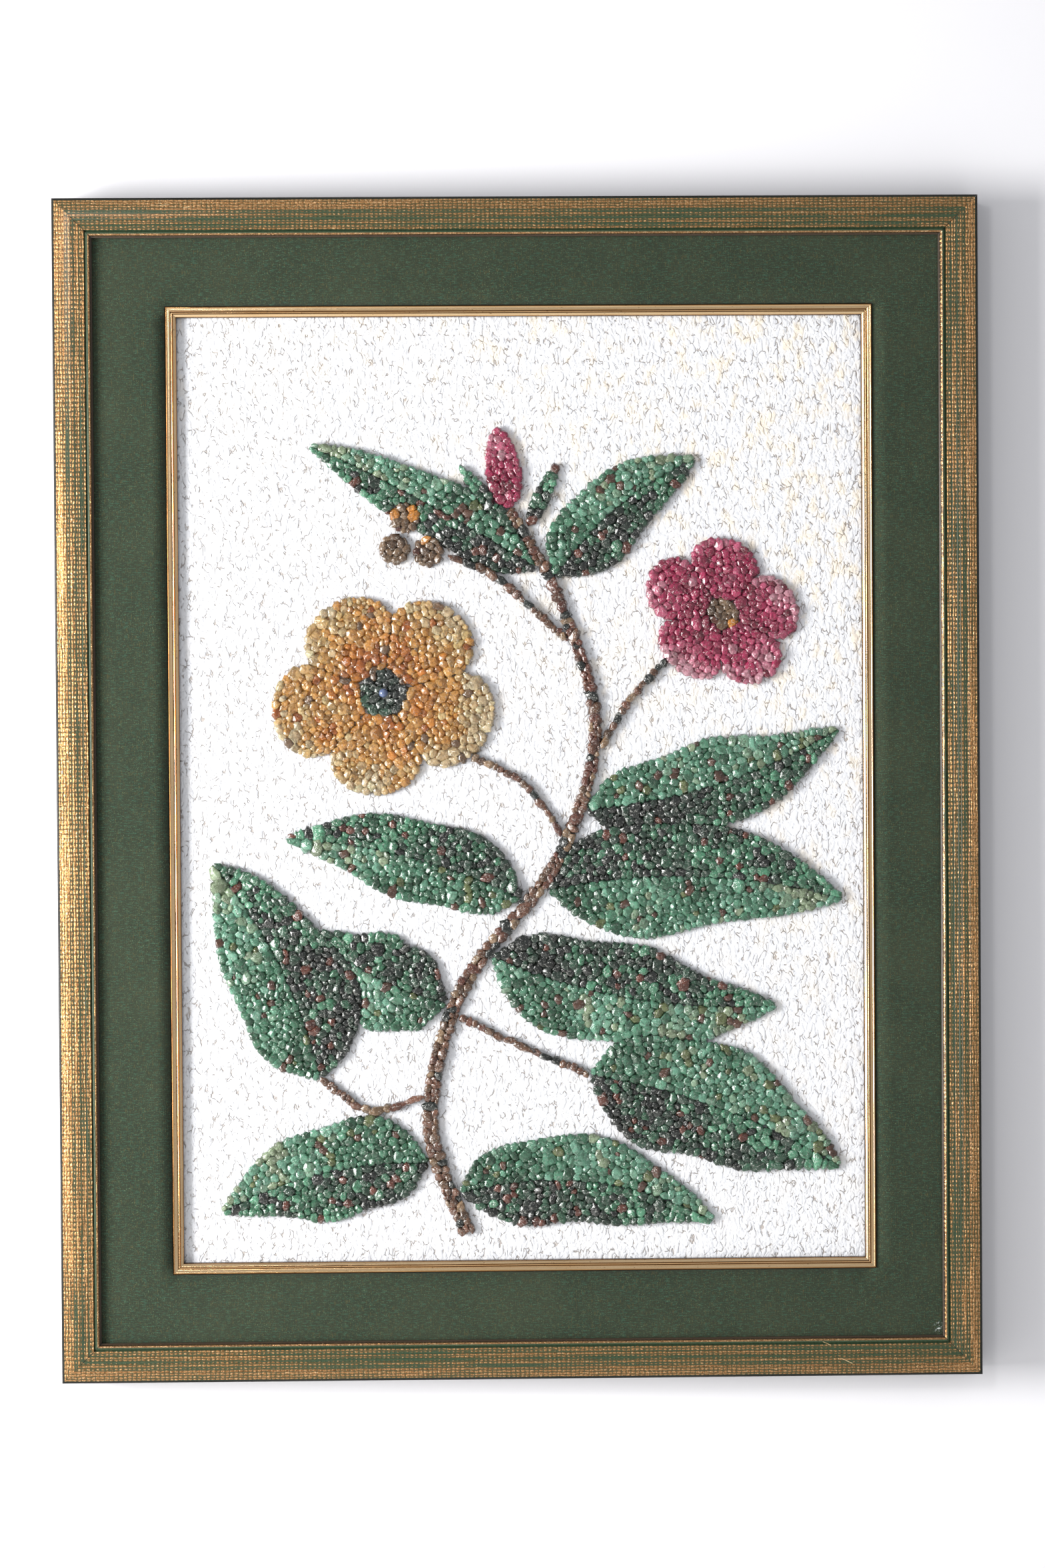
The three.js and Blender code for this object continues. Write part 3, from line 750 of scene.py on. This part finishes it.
def greenLinen():
    material, tree, shader = newMaterial("darkGreenLinen", 0.88, {"Sheen Weight": 0.15})
    place = objectPlace(tree)
    x, _, z = split(tree, place)
    sway = swing(tree, cloud(tree, place, 120, 2), linen["wobble"])
    weft = ripple(tree, calc(tree, "ADD", z, sway), linen["thread"])
    warp = ripple(tree, calc(tree, "ADD", x, sway), linen["thread"])
    weave = scaled(tree, weft, 0.55, times(tree, warp, 0.45))
    slubs = cloud(tree, objectPlace(tree, (260, 1, 1300)), 1.0, 2, 0.7)
    slubsUp = cloud(tree, objectPlace(tree, (1300, 1, 260)), 1.0, 2, 0.7)
    speckle = cloud(tree, place, 1250, 2, 0.75)
    broad = cloud(tree, place, 22, 3, 0.6)
    glint = cloud(tree, place, 1700, 2, 0.7)
    body = mixTones(tree, times(tree, weave, 0.75), linen["deep"], linen["leafy"])
    body = overlay(tree, body, linen["teal"], slubs, (0.5, 0.66))
    body = overlay(tree, body, linen["olive"], slubsUp, (0.55, 0.7))
    body = overlay(tree, body, linen["speck"], speckle, (0.58, 0.7))
    body = overlay(tree, body, mixTones(tree, 0.15, body, linen["faded"]), broad, (0.35, 0.7))
    body = overlay(tree, body, linen["glint"], glint, (0.6, 0.7))
    ends = {0: place, 1: linen["lintPlace"]}
    away = put(tree, "ShaderNodeVectorMath", ends, operation="DISTANCE")
    near = flip(tree, softStep(tree, away.outputs["Value"], *linen["lintReach"]))
    lint = times(tree, near, softStep(tree, cloud(tree, place, 900, 2, 0.6), 0.54, 0.6))
    body = mixTones(tree, lint, body, linen["lint"])
    setColor(tree, shader, body)
    addRelief(tree, shader, scaled(tree, slubs, 0.6, weave), 0.7, 0.16 * mm)
    return material


def cardEdge():
    material, tree, shader = newMaterial("greyCardEdge", 0.85)
    fibres = cloud(tree, objectPlace(tree), 400, 3)
    setColor(tree, shader, mixTones(tree, fibres, *linen["card"]))
    return material


def addMat():
    low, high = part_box("linen_mat")
    left, right, bottom, top = window
    rim = fillet["width"] + 0.3 * mm
    hole = (left - rim, right + rim, bottom - rim, top + rim)
    step = linen["cell"]

    def lines(*stops):  # grid lines that fall on each stop
        parts = []
        for a, b in zip(stops, stops[1:]):
            parts.append(np.linspace(a, b, max(2, round((b - a) / step)) + 1)[:-1])
        return np.append(np.concatenate(parts), stops[-1])

    def depth(x, z):
        return -low.y - linen["ease"] * softNoise(x, z, 3 * step, linen["seed"])

    xs = lines(low.x, hole[0], hole[1], high.x)
    zs = lines(low.z, hole[2], hole[3], high.z)
    mesh = slab("linen_mat_covered", xs, zs, depth, -high.y, hole)
    mesh.materials.append(greenLinen())
    mesh.materials.append(cardEdge())
    addPiece(mesh.name, mesh, "green_linen", "linen_mat")


addMat()
print("linen mat made")

plaster = {
    "flakes": 270,
    "swirl": 0.009,
    "pitch": 1.8 * mm,
    "swell": 0.3 * mm,
    "swellCell": 14 * mm,
    "lump": 0.28 * mm,
    "lumpCells": (4.2 * mm, 2.4 * mm),
    "white": tone(236, 238, 243),
    "cream": tone(243, 232, 215),
    "crease": (0.005, 0.075),  # from the middle of a crease to its edge, as a share of a flake
    "creaseBreaks": (0.49, 0.61),
    "specks": (0.62, 0.72),
    "creamFrom": (-0.32, 0.05),  # from where the cream starts to where it is full, going up and right
    # painted shade in the creases
    "creaseShadeTone": tone(154, 138, 122),
    "fibre": (tone(128, 92, 62), tone(152, 114, 80)),
    "fibreFleck": tone(98, 66, 42),
    "seed": 23,
}


def whitePlaster():
    material, tree, shader = newMaterial("roughWhitePlaster", 0.9)
    place = objectPlace(tree, (1, 1, 0.62))
    swirl = noise(tree, place, 160).outputs["Color"]
    sway = {0: swirl, 1: (plaster["swirl"],) * 3, 2: place}
    moved = put(tree, "ShaderNodeVectorMath", sway, operation="MULTIPLY_ADD").outputs[0]
    cells = {"Vector": moved, "Scale": plaster["flakes"]}
    flakes = put(tree, "ShaderNodeTexVoronoi", cells, feature="DISTANCE_TO_EDGE")
    edge = flakes.outputs["Distance"]
    broken = cloud(tree, place, 280, 2, 0.5)
    crease = flip(tree, softStep(tree, edge, *plaster["crease"]))
    crease = times(tree, crease, softStep(tree, broken, *plaster["creaseBreaks"]))
    specks = softStep(tree, cloud(tree, place, 1150, 2, 0.6), *plaster["specks"])
    crease = calc(tree, "MAXIMUM", crease, times(tree, specks, 0.32))
    blotch = cloud(tree, place, 130, 3, 0.6)
    fine = cloud(tree, place, 700, 3, 0.6)
    toRight, _, up = split(tree, place)
    corner = scaled(tree, toRight, 0.7, up)  # the cream shows most at the upper right
    yellowed = scaled(tree, softStep(tree, corner, *plaster["creamFrom"]), 0.85, 0.1)
    blotch = times(tree, softStep(tree, blotch, 0.46, 0.68), yellowed)
    body = mixTones(tree, blotch, plaster["white"], plaster["cream"])
    # painted shade in the creases under the flakes' edges; small specks get the same tone
    body = mixTones(tree, times(tree, crease, 0.7), body, plaster["creaseShadeTone"])
    setColor(tree, shader, body)
    height = scaled(tree, crease, -0.9, times(tree, fine, 0.35))
    height = scaled(tree, softStep(tree, edge, 0.0, 0.3), 0.35, height)
    height = scaled(tree, cloud(tree, place, 260, 2, 0.5), 1.3, height)
    addRelief(tree, shader, height, 1.0, 0.55 * mm)
    return material


def fibreBack():
    material, tree, shader = newMaterial("brownFibreBack", 0.8)
    place = objectPlace(tree)
    fleck = cloud(tree, place, 600, 3, 0.7)
    broad = cloud(tree, place, 18, 3)
    body = mixTones(tree, broad, *plaster["fibre"])
    body = overlay(tree, body, plaster["fibreFleck"], fleck, (0.5, 0.75))
    setColor(tree, shader, body)
    addRelief(tree, shader, fleck, 0.3, 0.15 * mm)
    return material


def addGround():
    low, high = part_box("ground_board")
    left, right, bottom, top = window
    step = plaster["pitch"]
    xs = np.arange(left - 2 * mm, right + 2 * mm, step)
    zs = np.arange(bottom - 2 * mm, top + 2 * mm, step)
    xs = np.concatenate([[low.x], xs, [high.x]])
    zs = np.concatenate([[low.z], zs, [high.z]])
    seed = plaster["seed"]
    coarse, close = plaster["lumpCells"]

    def depth(x, z):
        swell = softNoise(x, z, plaster["swellCell"], seed)
        lump = softNoise(x, z * 0.8, coarse, seed + 1) * 0.6
        lump += softNoise(x, z, close, seed + 2) * 0.4
        return -low.y - plaster["swell"] * swell - plaster["lump"] * lump

    mesh = slab("ground_board_plastered", xs, zs, depth, -high.y)
    mesh.materials.append(whitePlaster())
    mesh.materials.append(fibreBack())
    addPiece(mesh.name, mesh, "white_plaster", "ground_board")


addGround()
print("ground made")

# gem chips
chips = {
    "kinds": 16,
    "flatKinds": 9,
    "smoothBelow": 42,
    "flatWithin": 9,
    "wear": 0.07,
    "wornTo": 0.1,
    "cornerTurn": 0.32,
    "cornerReach": (0.8, 1.14),
    "cornerHeight": 0.16,
    "pitch": 4.7 * mm,
    "cell": 0.87,  # the area of a stone's cell, as a share of the pitch squared
    "uneven": 0.17,
    "sample": 0.65 * mm,
    "fewestSamples": 4,
    "rounds": 12,
    "fill": 2.45,
    "smallest": 1.3 * mm,
    "thickness": (1.9 * mm, 3.5 * mm),
    "thickShare": (1.05, 1.5),  # of the stone's shorter half
    "highest": 4.3 * mm,
    "lift": 0.6,
    "tilt": 0.3,
    "bedInset": 0.75 * mm,
    "bedRise": 1.5 * mm,
    "bedStep": 1.1 * mm,
    "patch": 15 * mm,
    "centerGrown": 1.16,
    "toneStart": 0.12,
    "toneAlong": 0.75,
    "tonePatch": 0.6,
    "areaTone": (-0.12, 0.14),
    "brightness": (0.82, 1.18),
    "seed": 7,
    "areaSeed": 100,
}

stoneTones = {
    "cream": (250, 232, 188),
    "straw": (248, 214, 148),
    "honey": (244, 184, 98),
    "amber": (236, 156, 64),
    "rust": (204, 120, 48),
    "palePink": (238, 176, 192),
    "pink": (226, 110, 146),
    "raspberry": (198, 56, 104),
    "wine": (140, 34, 64),
    "smoke": (150, 122, 94),
    "umber": (108, 80, 58),
    "bark": (118, 80, 62),
    "redBrown": (106, 60, 46),
    "greenBlack": (30, 36, 32),
    "pine": (48, 76, 60),
    "bottle": (64, 118, 88),
    "emerald": (92, 156, 122),
    "jade": (122, 190, 156),
    "aqua": (152, 218, 188),
    "sage": (182, 204, 166),
    "olive": (138, 150, 98),
}

# stones from an area's root to its tip, how much neighbours differ, odd ones, their share, the glue
mixtures = {
    "amber_chips": (
        ("rust", "amber", "honey", "honey", "straw", "cream"),
        0.15, ("smoke", "rust"), 0.05, (214, 150, 84),
    ),
    "raspberry_chips": (
        ("wine", "raspberry", "raspberry", "pink", "palePink"),
        0.16, ("wine",), 0.05, (176, 66, 100),
    ),
    "smoky_chips": (
        ("umber", "smoke", "umber", "smoke"),
        0.3, ("amber", "redBrown"), 0.14, (84, 66, 50),
    ),
    "black_green_chips": (
        ("greenBlack", "greenBlack", "pine"),
        0.25, ("umber",), 0.04, (34, 38, 34),
    ),
    "bark_chips": (
        ("redBrown", "bark", "umber", "bark"),
        0.3, ("greenBlack", "smoke"), 0.24, (60, 48, 42),
    ),
    "light_green_chips": (
        ("bottle", "emerald", "jade", "aqua", "sage"),
        0.22, ("olive", "bark"), 0.08, (98, 128, 98),
    ),
    "dark_green_chips": (
        ("greenBlack", "pine", "bottle", "emerald"),
        0.26, ("redBrown", "greenBlack"), 0.14, (58, 76, 60),
    ),
}


def makePebbles():
    kinds = bpy.data.collections.new("chipKinds")
    random = np.random.default_rng(chips["seed"])
    turn, rise = chips["cornerTurn"], chips["cornerHeight"]
    # rings of corners as (height, radius, corners, share of the painted shade at the stone's sides
    # and back); the front is at -1
    rings = ((-0.95, 0.56, 5, 0.0), (-0.5, 0.98, 6, 0.4), (0.5, 1.0, 5, 1.0), (0.95, 0.6, 3, 1.0))
    for kind in range(chips["kinds"]):
        work = bmesh.new()
        # each corner's share of the painted shade, darker towards the stone's sides and back
        rim = work.verts.layers.float.new("chipRim")
        for height, radius, corners, edge in rings:
            start = random.uniform(0, 2 * math.pi)
            for k in range(corners):
                angle = start + (k + random.uniform(-turn, turn)) * 2 * math.pi / corners
                reach = radius * random.uniform(*chips["cornerReach"])
                out = height + random.uniform(-rise, rise)
                spot = (reach * math.cos(angle), out, reach * math.sin(angle))
                work.verts.new(spot)[rim] = edge
        hull = bmesh.ops.convex_hull(work, input=work.verts)
        inner = [g for g in hull["geom_interior"] if isinstance(g, bmesh.types.BMVert)]
        bmesh.ops.delete(work, geom=inner, context="VERTS")
        flat = math.radians(chips["flatWithin"])
        bmesh.ops.dissolve_limit(work, angle_limit=flat, verts=work.verts, edges=work.edges)
        low = chips["wornTo"]
        seen = [edge for edge in work.edges if all(vert.co.y < low for vert in edge.verts)]
        wear = chips["wear"]
        bmesh.ops.bevel(
            work, geom=seen, offset=wear, segments=1, affect="EDGES", clamp_overlap=True)
        bmesh.ops.triangulate(work, faces=work.faces)
        bmesh.ops.recalc_face_normals(work, faces=work.faces)
        for face in work.faces:
            face.smooth = kind >= chips["flatKinds"]
        mesh = bpy.data.meshes.new(f"chipKind{kind}")
        work.to_mesh(mesh)
        work.free()
        if kind >= chips["flatKinds"]:
            mesh.set_sharp_from_angle(angle=math.radians(chips["smoothBelow"]))
        kinds.objects.link(bpy.data.objects.new(mesh.name, mesh))
    return kinds


def makeChipTree():
    tree = bpy.data.node_groups.new("scatterChips", "GeometryNodeTree")
    starts = {"Largest Tilt": chips["tilt"], "Seed": chips["seed"]}
    inputs = {
        "Geometry": "Geometry", "Chip Kinds": "Collection", "Largest Tilt": "Float",
        "Seed": "Int", "Finish": "Material",
    }
    for name, kind in inputs.items():
        socket = tree.interface.new_socket(name, in_out="INPUT", socket_type="NodeSocket" + kind)
        if name in starts:
            socket.default_value = starts[name]
    tree.interface.new_socket("Geometry", in_out="OUTPUT", socket_type="NodeSocketGeometry")
    given = put(tree, "NodeGroupInput").outputs
    seed, tilt = given["Seed"], given["Largest Tilt"]
    kinds = {"Collection": given["Chip Kinds"], "Separate Children": True, "Reset Children": True}
    pebbles = put(tree, "GeometryNodeCollectionInfo", kinds).outputs[0]
    numbers = {4: 0, 5: chips["kinds"] - 1, "Seed": seed}
    pick = put(tree, "FunctionNodeRandomValue", numbers, data_type="INT").outputs[2]

    back = calc(tree, "MULTIPLY", tilt, -1)
    ends = [put(tree, "ShaderNodeCombineXYZ", {0: end, 2: end}).outputs[0] for end in (back, tilt)]
    tips = {0: ends[0], 1: ends[1], "Seed": seed}
    tip = put(tree, "FunctionNodeRandomValue", tips, data_type="FLOAT_VECTOR").outputs[0]

    def stored(name):
        kind = "GeometryNodeInputNamedAttribute"
        return put(tree, kind, {"Name": name}, data_type="FLOAT_VECTOR").outputs[0]

    both = put(tree, "ShaderNodeVectorMath", {0: tip, 1: stored("chipTurn")}).outputs[0]
    turn = put(tree, "FunctionNodeEulerToRotation", {0: both}).outputs[0]
    scatter = put(tree, "GeometryNodeInstanceOnPoints", {
        "Points": given["Geometry"], "Instance": pebbles, "Pick Instance": True,
        "Instance Index": pick, "Rotation": turn, "Scale": stored("chipSize"),
    }).outputs[0]
    real = put(tree, "GeometryNodeRealizeInstances", {0: scatter}).outputs[0]
    dress = {"Geometry": real, "Material": given["Finish"]}
    put(tree, "NodeGroupOutput", {0: put(tree, "GeometryNodeSetMaterial", dress).outputs[0]})
    return tree


def outlineOf(node):  # the loops round the flat back of a solid, as points (x, z)
    mesh = frame["nodes"][node].data
    places = [tuple(round(c * 1e6) for c in v.co) for v in mesh.vertices]
    back = max(p[1] for p in places)
    edges = {}
    for polygon in mesh.polygons:
        corners = [places[k] for k in polygon.vertices]
        if all(abs(c[1] - back) < 20 for c in corners):
            for a, b in zip(corners, corners[1:] + corners[:1]):
                edges[((a[0], a[2]), (b[0], b[2]))] = True
    follow = {a: b for a, b in edges if (b, a) not in edges}
    loops = []
    while follow:
        start = next(iter(follow))
        loop = [start]
        spot = follow.pop(start)
        while spot != start and spot in follow:
            loop.append(spot)
            spot = follow.pop(spot)
        if len(loop) > 2:
            loops.append(np.array(loop, float) * 1e-6)
    return loops


def edgeReach(points, loops):  # how far inside the outline each point is, below 0 outside it
    starts = np.concatenate(loops)
    ends = np.concatenate([np.roll(loop, -1, 0) for loop in loops])
    along = ends - starts
    square = np.maximum((along**2).sum(1), 1e-14)
    rel = points[:, None] - starts[None]
    t = np.clip((rel * along).sum(2) / square, 0, 1)
    away = rel - t[..., None] * along
    reach = np.sqrt((away**2).sum(2)).min(1)
    above = (starts[None, :, 1] > points[:, None, 1]) != (ends[None, :, 1] > points[:, None, 1])
    level = np.where(np.abs(along[:, 1]) < 1e-12, 1e-12, along[:, 1])
    crossing = starts[None, :, 0] + (points[:, None, 1] - starts[None, :, 1]) * along[:, 0] / level
    inside = (above & (crossing > points[:, None, 0])).sum(1) % 2 == 1
    return np.where(inside, reach, -reach)


def insideOf(loops, step, least):  # grid points at least so far inside the outline, with their rows
    allPoints = np.concatenate(loops)
    low, high = allPoints.min(0), allPoints.max(0)
    xs = np.arange(low[0], high[0] + step, step)
    zs = np.arange(low[1], high[1] + step, step)
    gridX, gridZ = np.meshgrid(xs, zs)
    points = np.stack([gridX.ravel(), gridZ.ravel()], 1)
    parts = np.array_split(points, 1 + len(points) // 4000)  # in parts, to save memory
    reach = np.concatenate([edgeReach(part, loops) for part in parts])
    return points, (reach > least).reshape(gridX.shape)


def packChips(loops, random):  # stones of mixed size, each turned to fill its share of the area
    points, inside = insideOf(loops, chips["sample"], 0)
    samples = points[inside.ravel()]
    cell = chips["cell"] * chips["pitch"] ** 2
    count = max(3, round(len(samples) * chips["sample"] ** 2 / cell))
    spots = samples[random.choice(len(samples), count, replace=False)]
    sizes = np.exp(random.normal(0, chips["uneven"], count))
    for _ in range(chips["rounds"]):
        gap = np.sqrt(((samples[:, None] - spots[None]) ** 2).sum(2)) / sizes
        owner = gap.argmin(1)
        owned = np.bincount(owner, minlength=count)
        for axis in (0, 1):
            total = np.bincount(owner, samples[:, axis], minlength=count)
            spots[:, axis] = np.where(owned > 0, total / np.maximum(owned, 1), spots[:, axis])
    kept = owned >= chips["fewestSamples"]
    off = samples - spots[owner]
    spread = np.zeros((count, 2, 2))
    for i in (0, 1):
        for j in (0, 1):
            total = np.bincount(owner, off[:, i] * off[:, j], minlength=count)
            spread[:, i, j] = total / np.maximum(owned, 1)
    lengths, ways = np.linalg.eigh(spread[kept])
    half = np.maximum(np.sqrt(np.maximum(lengths, 0)) * chips["fill"], chips["smallest"])
    turn = -np.arctan2(ways[:, 1, 1], ways[:, 0, 1])
    return spots[kept], half[:, 1], half[:, 0], turn


def pickTones(slot, share, random):
    names, spread, oddNames, oddShare, _ = mixtures[slot]
    stops = np.array([tone(*stoneTones[n])[:3] for n in names])
    odd = np.array([tone(*stoneTones[n])[:3] for n in oddNames])
    place = np.clip(share + random.normal(0, spread, len(share)), 0, 1) * (len(names) - 1)
    colors = np.stack([np.interp(place, range(len(names)), stops[:, c]) for c in range(3)], 1)
    chosen = random.random(len(share)) < oddShare
    colors[chosen] = odd[random.integers(len(odd), size=len(share))][chosen]
    return np.clip(colors * random.uniform(*chips["brightness"], (len(share), 1)), 0, 1)


stone = {  # what the stone's own tone is multiplied by, for its flaws and for the painted shade at its rim, and what it is veiled with
    "shade": (0.55, 0.53, 0.5, 1),
    "paintedRimShade": (0.3, 0.29, 0.27, 1),
    "veil": (0.86, 0.86, 0.8, 1),
    "veiled": 0.42,
    "glueShade": (0.4, 0.38, 0.36),
}


def stoneMaterial(slot, clarity):
    name = slot.replace("_", " ").title().replace(" ", "")
    polish = {"IOR": 1.52, "Transmission Weight": clarity, "Coat Weight": 0.7, "Coat Roughness": 0.04}
    material, tree, shader = newMaterial(name, 0.12, polish)
    own = put(tree, "ShaderNodeAttribute", attribute_name="chipTone").outputs["Color"]
    rim = put(tree, "ShaderNodeAttribute", attribute_name="chipRim").outputs["Fac"]
    place = objectPlace(tree)
    flaw = cloud(tree, place, 340, 3, 0.65, 0.6)
    vein = cloud(tree, place, 800, 2, 0.6, 0.8)
    dark = mixTones(tree, 1.0, own, stone["shade"], "MULTIPLY")
    deep = mixTones(tree, 1.0, own, stone["paintedRimShade"], "MULTIPLY")
    pale = mixTones(tree, stone["veiled"], own, stone["veil"])
    body = overlay(tree, dark, own, flaw, (0.4, 0.56))
    body = overlay(tree, body, pale, vein, (0.56, 0.68))
    # painted shade: the stone darkens towards its sides and back, where it sinks between its
    # neighbours
    setColor(tree, shader, overlay(tree, body, deep, rim, (0.3, 0.95)))
    feed(tree, shader.inputs["Roughness"], scaled(tree, flaw, 0.14, 0.02))
    addRelief(tree, shader, cloud(tree, place, 600, 2, 0.6), 0.72, 0.9 * mm)
    return material


def glueMaterial(slot):
    material, tree, shader = newMaterial(slot.split("_chips")[0] + "Glue", 0.35)
    place = objectPlace(tree)
    full = tone(*mixtures[slot][4])
    dim = (*(level * share for level, share in zip(full, stone["glueShade"])), 1)
    body = mixTones(tree, cloud(tree, place, 400, 2), dim, full)
    setColor(tree, shader, body)
    addRelief(tree, shader, cloud(tree, place, 700, 2), 0.5, 0.3 * mm)
    return material


def bedOf(work, loops, base, slot):  # the glue that the chips sit in, as low bars side by side
    step = chips["bedStep"]
    front = base + chips["bedRise"]
    points, inside = insideOf(loops, step, chips["bedInset"])
    points = points.reshape(*inside.shape, 2)
    for row, line in enumerate(inside):
        turns = np.flatnonzero(np.diff(np.concatenate([[0], line.astype(int), [0]])))
        for first, last in zip(turns[::2], turns[1::2]):
            x0 = points[row, first, 0] - step / 2
            x1 = points[row, last - 1, 0] + step / 2
            z0 = points[row, first, 1] - step / 2
            z1 = z0 + step
            corners = ((x0, z0), (x1, z0), (x1, z1), (x0, z1))
            ring = [work.verts.new((x, -front, z)) for x, z in corners]
            foot = [work.verts.new((v.co.x, -base, v.co.z)) for v in ring]
            faces = [work.faces.new(ring)]
            for k in range(4):
                after = (k + 1) % 4
                faces.append(work.faces.new((ring[after], ring[k], foot[k], foot[after])))
            for face in faces:
                face.material_index = slot


cabochon = {
    "node": "amber_flower_center",
    "radius": 2.7 * mm,
    "depth": 3.2 * mm,
    "steps": 12,
    "tones": (tone(62, 76, 112), tone(112, 128, 164)),
}


def blueStone():
    polish = {"Coat Weight": 1.0, "Coat Roughness": 0.02}
    material, tree, shader = newMaterial("blueGreyCabochon", 0.06, polish)
    cloudy = cloud(tree, objectPlace(tree), 300, 2)
    setColor(tree, shader, mixTones(tree, cloudy, *cabochon["tones"]))
    return material


def slotOf(node):
    for row in frame["record"]["subparts"]:
        if row["node"] == node:
            return row["material_slot"]
    raise ValueError(node)


chipClarity = {
    "amber_chips": 0.6, "raspberry_chips": 0.5, "smoky_chips": 0.4, "black_green_chips": 0.15,
    "bark_chips": 0.25, "light_green_chips": 0.6, "dark_green_chips": 0.3,
}


def rootOf(node, loops, stem):  # where tones start: the flower's centre, or by the stem
    if "petal" in node:
        low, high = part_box(node.split("_petal")[0] + "_center")
        return np.array([(low.x + high.x) / 2, (low.z + high.z) / 2])
    outline = np.concatenate(loops)
    gaps = np.linalg.norm(outline[:, None] - stem[None], axis=2).min(1)
    return outline[gaps.argmin()]


def shareAlong(points, root):  # 0 for the stone nearest to the root, 1 for the farthest
    away = np.linalg.norm(points - root, axis=1)
    return np.clip((away - away.min()) / max(away.max() - away.min(), 1e-6), 0, 1)


def seedsOf(points, middle, sizes, turn, colors):  # one vertex for each stone
    seeds = bpy.data.meshes.new("seeds")
    seeds.from_pydata(np.stack([points[:, 0], -middle, points[:, 1]], 1).tolist(), [], [])
    none = np.zeros(len(points))
    for name, values in (("chipSize", sizes), ("chipTurn", (none, turn, none))):
        row = seeds.attributes.new(name, "FLOAT_VECTOR", "POINT")
        row.data.foreach_set("vector", np.stack(values, 1).ravel())
    row = seeds.attributes.new("chipTone", "FLOAT_COLOR", "POINT")
    full = np.concatenate([colors, np.ones((len(points), 1))], 1)
    row.data.foreach_set("color", full.ravel())
    return seeds


def scatterOn(seeds, tree, kinds, finish, seed):  # the stones of one area as a plain mesh
    given = [item for item in tree.interface.items_tree if item.in_out == "INPUT"]
    sockets = {item.name: item.identifier for item in given}
    carrier = bpy.data.objects.new("carrier", seeds)
    bpy.context.scene.collection.objects.link(carrier)
    modifier = carrier.modifiers.new("scatterChips", "NODES")
    modifier.node_group = tree
    modifier[sockets["Chip Kinds"]] = kinds
    modifier[sockets["Finish"]] = finish
    modifier[sockets["Seed"]] = seed
    depsgraph = bpy.context.evaluated_depsgraph_get()
    mesh = bpy.data.meshes.new_from_object(carrier.evaluated_get(depsgraph))
    bpy.data.objects.remove(carrier)
    return mesh


def setCabochon(work, loops, base, slot):
    heart = np.concatenate(loops).mean(0)
    place = Matrix.Translation((heart[0], -base - cabochon["depth"], heart[1]))
    radius, steps = cabochon["radius"], cabochon["steps"]
    made = bmesh.ops.create_uvsphere(
        work, u_segments=2 * steps, v_segments=steps, radius=radius, matrix=place)
    for face in {face for vert in made["verts"] for face in vert.link_faces}:
        face.material_index = slot
        face.smooth = True


def addChips():
    kinds = makePebbles()
    bpy.context.scene.collection.children.link(kinds)
    tree = makeChipTree()
    finishes = {slot: stoneMaterial(slot, clarity) for slot, clarity in chipClarity.items()}
    glues = {slot: glueMaterial(slot) for slot in chipClarity}
    stem = np.concatenate(outlineOf("stem"))
    total = 0
    areas = [node for node in frame["nodes"] if slotOf(node) in chipClarity]
    for number, node in enumerate(sorted(areas)):
        slot = slotOf(node)
        random = np.random.default_rng(chips["areaSeed"] + number)
        loops = outlineOf(node)
        if node.endswith("_center"):
            heart = np.concatenate(loops).mean(0)
            loops = [heart + (loop - heart) * chips["centerGrown"] for loop in loops]
        points, long, short, turn = packChips(loops, random)
        total += len(points)
        share = shareAlong(points, rootOf(node, loops, stem))
        patch = softNoise(points[:, 0] + 1, points[:, 1] + 1, chips["patch"], number)
        own = random.uniform(*chips["areaTone"])
        place = chips["toneAlong"] * share + chips["tonePatch"] * (patch - 0.5)
        colors = pickTones(slot, np.clip(place + chips["toneStart"] + own, 0, 1), random)
        base = -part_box(node)[1].y
        thick = short * random.uniform(*chips["thickShare"], len(points))
        thick = np.clip(thick, *chips["thickness"])
        lift = random.uniform(0, 1, len(points)) * (chips["highest"] - thick) * chips["lift"]
        seeds = seedsOf(points, base + thick / 2 + lift, (long, thick / 2, short), turn, colors)
        mesh = scatterOn(seeds, tree, kinds, finishes[slot], chips["seed"] + number)

        work = bmesh.new()
        work.from_mesh(mesh)
        for face in work.faces:
            face.material_index = 0
        bedOf(work, loops, base, 1)
        finish = [finishes[slot], glues[slot]]
        if node == cabochon["node"]:
            setCabochon(work, loops, base, 2)
            finish.append(blueStone())
        mesh.materials.clear()  # this sets every face back to slot 0, so it comes before to_mesh
        for material in finish:
            mesh.materials.append(material)
        work.to_mesh(mesh)
        work.free()
        mesh.name = node + "_stones"
        addPiece(mesh.name, mesh, slot, node)
    for pebble in list(kinds.objects):
        bpy.data.objects.remove(pebble)
    bpy.data.collections.remove(kinds)
    print("chips made:", total)


addChips()
